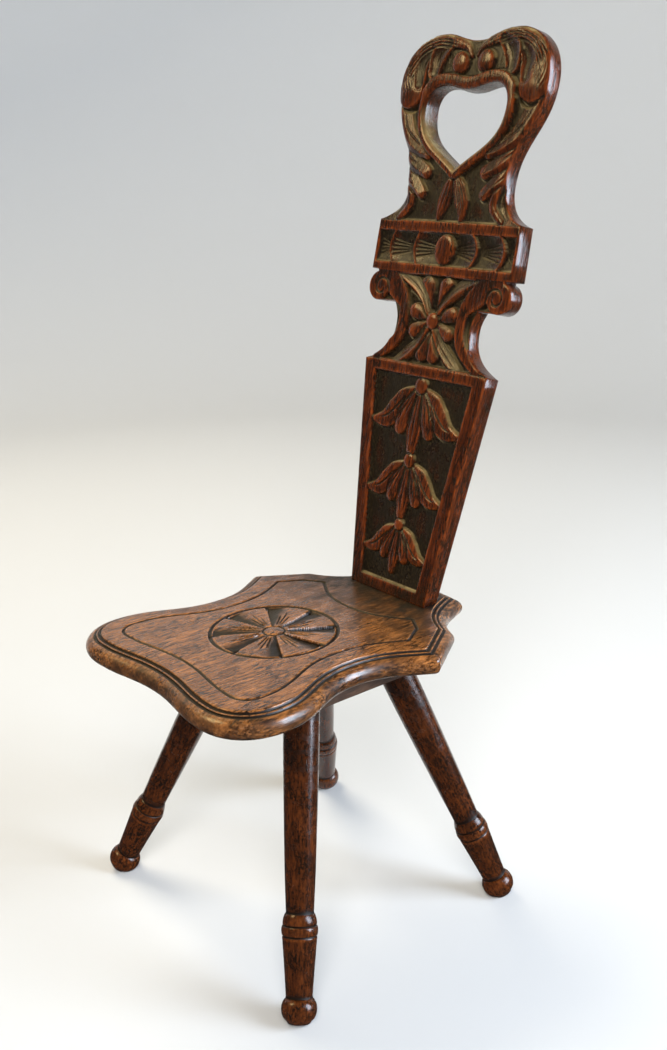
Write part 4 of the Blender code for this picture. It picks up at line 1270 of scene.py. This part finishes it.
@dataclass
class MouldedSeat(Board):
    """The shaped seat with its moulded edge and carved roundel (millimetres; levels above its face)."""

    grain_shift: float = 400.0
    pitch: float = 1.0
    fillet: float = 5.5
    nose: float = 12.0
    line_inset: float = 40.5
    roundel: float = 69.3
    hub: float = 12.0
    rays: int = 8
    first_ray: float = 15.0
    ray_width: float = 26.0
    ray_cut: float = 3.3

    def outline(self) -> np.ndarray:
        """Draw the seat's edge.

        Returns:
            Its points in order.
        """
        tail, notch, corner = (66, 222.5), (124.4, 151), (164.5, 90.5)
        half = np.vstack([
            flow([((0, 226), 0), (tail, -8)], 8), flow([(tail, -70), (notch, -22)], 14)[1:],
            flow([(corner, -120), ((130, 8), -90), ((160.5, -103), -90), ((98, -166), 180), ((0, -155.5), 180)], 20)])
        return mirrored(half)

    def incised(self) -> np.ndarray:
        """Draw the line cut round the seat's field.

        Returns:
            Its points in order.
        """
        by = self.line_inset
        half = np.vstack([
            flow([((0, 104.5), 0), ((77, 133), 35)]), [(99.5, 118.5)],
            flow([((115.5, 92), -120), ((130 - by, 8), -90), ((160.5 - by, -103), -90), ((98, -166 + by), 180),
                  ((0, -155.5 + by), 180)])])
        return mirrored(half)

    def carve_roundel(self, relief: Relief) -> None:
        """Carve the whirling rosette in the middle of the seat.

        Args:
            relief: The seat's face.
        """
        radius = np.hypot(relief.x, relief.y)
        angle = np.degrees(np.arctan2(relief.y, relief.x))
        for k in range(self.rays):
            ray = self.first_ray + 360.0 / self.rays * k
            turn = (angle - ray + 180) % 360 - 180
            behind = -np.radians(turn) * radius
            wide = np.clip(self.ray_width * radius / self.roundel, 3, None)
            slope = unit(1 - behind / wide) * (behind > -0.6)
            reach = ease((radius - 11.5) / 4) * ease((self.roundel - 2.5 - radius) / 2)
            relief.height -= self.ray_cut * slope**1.2 * reach * np.clip(radius / 36, 0.35, 1)
            for spread, length in ((-9.0, 46.0), (-16.0, 54.0), (-23.0, 44.0)):
                way = heading(ray + spread - 8.0)
                relief.gouge([way * 14, way * (0.5 * (14 + length)), way * length], 2.4, 1.3, 0.25)
            tip = heading(ray)
            relief.gouge([tip * (self.roundel - 8), tip * (self.roundel - 1)], 6.0, 1.6, 0.0)
        for ring, half, cut in ((self.roundel, 2.5, 2.1), (self.hub, 1.6, 1.5)):
            relief.height -= cut * unit(1 - (np.abs(radius - ring) / half) ** 2)
        relief.height += 0.5 * ease((self.hub - 1.0 - radius) / 6)

    def relief(self) -> Relief:
        """Carve the seat's face.

        Returns:
            The carved face.
        """
        made = Relief((-150.0, -156.0), (150.0, 216.0), self.pitch)
        line = self.incised()
        away, _ = nearest(made.x, made.y, np.vstack([line, line[:1]]))
        made.height -= 1.8 * unit(1 - (away / 2.0) ** 2)
        self.carve_roundel(made)
        return made

    def place(self, flat: np.ndarray, level: np.ndarray | float) -> np.ndarray:
        """Turn places on the seat, each at a level above its face, into places on the chair in metres."""
        z = np.broadcast_to(SEAT_TOP + level, len(flat))
        return np.column_stack([flat[:, 0], flat[:, 1] - CHAIR_MIDDLE, z]) * MM

    def mortise(self, z: float) -> np.ndarray:
        """Draw the mortise's edge at a height from the seat's face.

        Args:
            z: The height.

        Returns:
            The edge's four corners.
        """
        near = BACK_FOOT + TENON_FRONT / math.cos(RAKE) - GAP + z * math.tan(RAKE)
        far, half = near + TENON_THICK / math.cos(RAKE) + 2 * GAP, TENON_HALF + GAP
        return np.array([(-half, near), (half, near), (half, far), (-half, far)])

    def build(self) -> bpy.types.Object:
        """Build the seat.

        Returns:
            The piece.
        """
        outline, relief, shell = self.outline(), self.relief(), Shell()
        nose, step = self.nose, self.fillet + self.nose
        loops = [moulded(outline, step + 0.9), self.mortise(0.0)]
        inner = relief.lattice(loops)
        flat = np.vstack([*loops, inner])
        height = relief.sample(relief.height, flat)
        rim = len(outline) + len(loops[1])
        height[:rim] = 0.0
        # grime and painted shade in hollows, painted shade round the foot of the back where the back shades the seat,
        # and painted shade in the deep cuts
        corner = np.hypot(np.clip(np.abs(flat[:, 0]) - 60, 0, None), np.clip(162 - flat[:, 1], 0, None))
        hollow = (1.2 * relief.sample(relief.recess(), flat) + 0.72 * unit(1 - corner / 140)
                  + 0.9 * unit(-height / 2.4))
        numbers = self.add(shell, flat, height, unit(hollow), 0.8 * relief.sample(relief.wear(), flat))
        shell.fill(numbers[triangulated(loops, inner)])
        bead = 3.2  # depth of the fine beads above the nose
        half = 0.5 * (SEAT_THICK - bead)
        # inset, level, hollow and wear of each ring
        profile = [(step + 0.25, -0.25, 0.0, 0.8), (step, -0.9, 0.2, 0.3), (step - 0.1, -2.1, 1.0, 0.0),
                   (step - 0.7, -2.7, 1.0, 0.0), (step - 1.8, -2.6, 1.0, 0.0), (step - 3.4, -2.1, 0.75, 0.0),
                   (nose + 1.0, -1.8, 0.1, 0.4), (nose + 0.2, -2.1, 0.1, 0.5), (nose, -bead, 1.0, 0.0),
                   (nose - 0.5, -3.9, 1.0, 0.0), (nose - 1.4, -3.8, 1.0, 0.0), (nose - 2.8, -3.75, 0.75, 0.0)]
        # the nose's rings are painted darker towards its underside as painted shade, and worn only on its upper half
        for turn in np.radians(np.linspace(72, -90, 14)):
            up = math.sin(turn)
            profile.append((nose * (1 - math.cos(turn)), -bead - half + half * up, 0.37 - 0.13 * up,
                            0.22 * max(0.0, up)))
        ring = self.wall(shell, numbers[:len(outline)], [
            (moulded(outline, distance) if distance > 0.01 else outline, *row) for distance, *row in profile])
        under = [moulded(outline, nose), self.mortise(-SEAT_THICK)]
        low = self.add(shell, under[1], -SEAT_THICK, 0.5, 0.0)
        self.close(shell, [ring, low], under, -SEAT_THICK, 0.35, (range(-140, 141, 12), range(-145, 220, 12)), 4)
        shell.bridge(numbers[len(outline):rim], low)
        return shell.build("moulded_seat", sharp=48)


@dataclass
class TurnedLeg:
    """A splayed leg, turned in one piece with its tenon (millimetres)."""

    name: str
    node: str
    foot: Point
    head: Point
    seed: float
    sides: int = 72
    foot_height: float = 14.1
    head_height: float = 295.7
    tenon_reach: float = 28.0

    def profile(self, length: float) -> list[tuple[float, float, float, float]]:
        """Return the turning from foot to head.

        Args:
            length: Distance along the axis from the bun's middle to the leg's head.

        Returns:
            Rows of radius, height along the axis, hollow and wear.
        """
        rows = [(0.01, -15.5, 0.3, 0.1), (6.0, -15.3, 0.3, 0.1), (11.5, -14.0, 0.2, 0.2)]
        rows += [(18.2 * math.cos(turn) ** 0.5, 12.6 * math.sin(turn) - 0.6, 0.0, 0.42)
                 for turn in np.radians(np.linspace(-58, 58, 16))]
        rows += [(13.9, 10.9, 0.7, 0.0), (13.6, 11.8, 0.9, 0.0), (13.7, 12.8, 0.5, 0.1)]
        rows += [(13.7 + 4.2 * share**1.1, 12.8 + 56.0 * share, 0.0, 0.12) for share in np.linspace(0.06, 0.94, 14)]
        rows += [(17.9, 68.0, 0.0, 0.6), (17.85, 69.0, 0.1, 0.5), (17.1, 69.8, 0.9, 0.0), (17.1, 70.6, 0.9, 0.0),
                 (18.2, 71.3, 0.2, 0.4)]
        rows += [(18.25 + 0.55 * math.sin(math.pi * share), 71.3 + 8.4 * share, 0.0, 0.5)
                 for share in np.linspace(0.1, 0.9, 6)]
        rows += [(18.1, 79.7, 0.2, 0.4), (17.0, 80.4, 0.9, 0.0), (17.0, 81.1, 0.9, 0.0), (17.5, 81.8, 0.2, 0.4)]
        rows += [(17.55 - 2.4 * share**2.2, 81.8 + 9.9 * share, 0.0, 0.5 - 0.3 * share)
                 for share in np.linspace(0.1, 1.0, 8)]
        rows += [(14.5, 92.4, 0.8, 0.0), (14.3, 93.4, 0.8, 0.0), (14.45, 95.5, 0.3, 0.0)]
        # the upper part of the leg is painted darker towards its head, a painted shadow of the seat
        for share in np.linspace(0.05, 1, 20):
            height = 95.5 + (length - 95.5) * share
            swell = np.interp(height, (95.5, 130, 200, 250, length), (14.45, 15.9, 17.8, 18.9, 19.5))
            rows.append((float(swell), height, 0.35 * max(0.0, share - 0.4) / 0.6, 0.12))
        return rows

    def build(self) -> bpy.types.Object:
        """Build the leg.

        Returns:
            The piece.
        """
        foot = np.array((self.foot[0], self.foot[1] - CHAIR_MIDDLE, self.foot_height))
        head = np.array((self.head[0], self.head[1] - CHAIR_MIDDLE, self.head_height))
        length = float(np.linalg.norm(head - foot))
        axis = (head - foot) / length
        side = np.cross((0, 1, 0), axis)
        side /= np.linalg.norm(side)
        third = np.cross(axis, side)
        turn = np.linspace(0, 2 * math.pi, self.sides, endpoint=False)
        shell, rings = Shell(), []
        rows = self.profile(length)
        tenon = [(12.0, length + 0.2, 0.6, 0.0), (12.0, length + self.tenon_reach - 1.2, 0.0, 0.1),
                 (10.8, length + self.tenon_reach, 0.0, 0.2)]
        for number, (radius, height, hollow, rub) in enumerate(rows + tenon):
            wobble = 1 + 0.004 * np.sin(2 * turn + self.seed) * (number < len(rows))
            circle = np.outer(np.cos(turn) * radius * wobble, side) + np.outer(np.sin(turn) * radius * wobble, third)
            places = foot + axis * height + circle
            if number == len(rows) - 1:
                places += np.outer((self.head_height - 0.15 - places[:, 2]) / axis[2], axis)
            places[:, 2] = np.maximum(places[:, 2], 0.0)
            grain = np.column_stack([np.cos(turn) * radius, np.sin(turn) * radius, np.full(self.sides, 2.5 * height)])
            rings.append(shell.add(places * MM, (grain + self.seed * 97.0) * MM, hollow, rub))
        for first, second in zip(rings, rings[1:]):
            shell.bridge(first, second)
        shell.faces.append(tuple(rings[-1].tolist()))
        shell.faces.append(tuple(rings[0][::-1].tolist()))
        return shell.build(self.name, sharp=50)


@dataclass
class Studio:
    """A pale round sweep, soft lights and the camera (metres)."""

    sweep_radius: float = 3.8
    sweep_height: float = 3.4
    sweep_bend: float = 1.3
    backdrop: float = math.radians(58)
    eye: tuple[float, float, float] = (0.9426, -0.7600, 0.8385)
    azimuth: float = math.radians(-50.77)
    tilt: float = math.radians(18.21)
    roll: float = math.radians(-1.1)
    lens: float = 39.94
    sensor: float = 36.0

    def build(self) -> None:
        """Set up the sweep, the lights and the camera."""
        self.build_sweep()
        self.build_lights()
        self.build_camera()

    def build_sweep(self) -> None:
        """Build the floor that turns up into a wall behind the chair, and a plain wall before it."""
        paper = bpy.data.materials.new("pale_paper")
        paper.use_nodes = True
        shader = paper.node_tree.nodes["Principled BSDF"]
        shader.inputs["Base Color"].default_value = (0.62, 0.617, 0.610, 1)
        shader.inputs["Roughness"].default_value = 0.9
        bend = self.sweep_bend
        rows = [(0.0, 0.0), (1.2, 0.0), (self.sweep_radius - bend, 0.0)]
        rows += [(self.sweep_radius - bend + bend * math.sin(a), bend - bend * math.cos(a))
                 for a in np.radians(np.linspace(8, 90, 12))]
        rows.append((self.sweep_radius, self.sweep_height))
        behind = math.pi / 2 - self.azimuth
        for name, middle, half in (("studio_sweep", behind, self.backdrop),
                                   ("studio_front", behind + math.pi, math.pi - self.backdrop)):
            turn = middle + np.linspace(-half, half, 49)
            shell, rings = Shell(), []
            for radius, z in rows:
                places = np.column_stack([radius * np.cos(turn), radius * np.sin(turn), np.full(len(turn), z)])
                rings.append(shell.add(places, places))
            for low, high in zip(rings, rings[1:]):
                shell.fill(np.column_stack([low[:-1], low[1:], high[1:], high[:-1]]))
            sweep = shell.build(name)
            sweep.data.materials.append(paper)
            sweep.visible_glossy = name == "studio_sweep"

    def build_lights(self) -> None:
        """Set up a soft window, soft lights that give no gleam, warm ones that give only gleam, and a dim sky."""
        world = bpy.data.worlds.new("studio_light")
        world.use_nodes = True
        back = world.node_tree.nodes["Background"]
        back.inputs["Color"].default_value = (0.93, 0.96, 1.0, 1)
        back.inputs["Strength"].default_value = 0.06
        bpy.context.scene.world = world
        for name, spot, aim, size, watts, tint in (
                ("window_right", (2.1, 1.5, 1.3), (0, 0, 0.5), (1.4, 1.9), 136.0, (0.72, 0.84, 1.0)),
                ("front_soft", (1.9, -1.7, 2.5), (0, 0, 0.5), (1.5, 1.5), 90.0, (1.0, 0.98, 0.95)),
                ("ceiling_soft", (-1.85, 0.0, 2.55), (0, 0.1, 0.6), (1.4, 1.4), 68.0, (1.0, 0.91, 0.72)),
                ("warm_top", (-1.85, 0.0, 2.55), (0, 0.1, 0.6), (1.4, 1.4), 50.0, (1.0, 0.76, 0.38)),
                ("warm_left", (-1.1, -1.6, 2.3), (0, 0.1, 0.7), (1.0, 1.0), 30.0, (1.0, 0.76, 0.36))):
            light = bpy.data.lights.new(name, "AREA")
            light.shape, light.size, light.size_y = "RECTANGLE", *size
            light.energy, light.color = watts, tint
            lamp = bpy.data.objects.new(name, light)
            lamp.location = spot
            lamp.rotation_euler = (Vector(aim) - Vector(spot)).to_track_quat("-Z", "Y").to_euler()
            lamp.visible_glossy, lamp.visible_diffuse = "soft" not in name, "warm" not in name
            bpy.context.scene.collection.objects.link(lamp)

    def build_camera(self) -> None:
        """Set up the camera at the photograph's view."""
        ahead = Vector((math.sin(self.azimuth) * math.cos(self.tilt), math.cos(self.azimuth) * math.cos(self.tilt),
                        -math.sin(self.tilt)))
        level = Vector((math.cos(self.azimuth), -math.sin(self.azimuth), 0))
        upright = level.cross(ahead)
        right = math.cos(self.roll) * level + math.sin(self.roll) * upright
        up = -math.sin(self.roll) * level + math.cos(self.roll) * upright
        lens = bpy.data.cameras.new("camera")
        lens.lens, lens.sensor_width = self.lens, self.sensor
        camera = bpy.data.objects.new("camera", lens)
        camera.matrix_world = Matrix.Translation(self.eye) @ Matrix((right, up, -ahead)).transposed().to_4x4()
        bpy.context.scene.collection.objects.link(camera)
        bpy.context.scene.camera = camera
        bpy.context.scene.view_settings.view_transform = "Standard"


@dataclass
class SpinningChair:
    """The whole chair: pieces built here and the frame's own pieces, all dressed."""

    back: CarvedBack = field(default_factory=CarvedBack)
    seat: MouldedSeat = field(default_factory=MouldedSeat)

    def legs(self) -> list[TurnedLeg]:
        """Lay out the four legs.

        Returns:
            The legs.
        """
        made = []
        for row, foot, head in (("front", (172.4, -111.1), (69.1, -17.4)), ("rear", (159.0, 193.0), (64.5, 108.5))):
            for side, sign in (("left", -1), ("right", 1)):
                made.append(TurnedLeg(f"turned_leg_{row}_{side}", f"leg_{row}_{side}", (sign * foot[0], foot[1]),
                                      (sign * head[0], head[1]), 1.7 * len(made) + 0.6))
        return made

    def fit(self, piece: bpy.types.Object, finish: bpy.types.Material, slot: str, *nodes: str) -> None:
        """Give a piece its finish and its place in the frame.

        Args:
            piece: The piece.
            finish: Its material.
            slot: Not used.
            nodes: Nodes of the frame that it stands for.
        """
        piece.data.materials.append(finish)
        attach(piece, "root")
        if nodes:
            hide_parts(*nodes)
        LOG.info("%s: %d faces", piece.name, len(piece.data.polygons))

    def build(self) -> None:
        """Build and dress every piece."""
        dark, seat, leg = BACK_FINISH.make(), SEAT_FINISH.make(), LEG_FINISH.make()
        self.fit(self.back.build(), dark, "dark_oak", "back_board")
        self.fit(self.back.build_tenon(), dark, "dark_oak")
        self.fit(self.seat.build(), seat, "seat_oak", "seat_board")
        for turned in self.legs():
            self.fit(turned.build(), leg, "leg_oak", turned.node)
        self.dress()

    def dress(self) -> None:
        """Give the frame's own battens, wedges and screws their finishes."""
        finishes = {"batten_screw": IRON_FINISH.make(), "batten": BATTEN_FINISH.make(), "wedge": WEDGE_FINISH.make()}
        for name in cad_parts:
            kind = next((k for k in finishes if k in name), None)
            if kind:
                node = bpy.data.objects[name]
                node.data.materials.clear()
                node.data.materials.append(finishes[kind])
                LOG.info("%s: %s", name, finishes[kind].name)


def main() -> None:
    """Build the chair and its studio."""
    logging.basicConfig(level=logging.INFO, format="%(message)s")
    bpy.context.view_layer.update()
    SpinningChair().build()
    Studio().build()


if __name__ == "__main__":
    main()
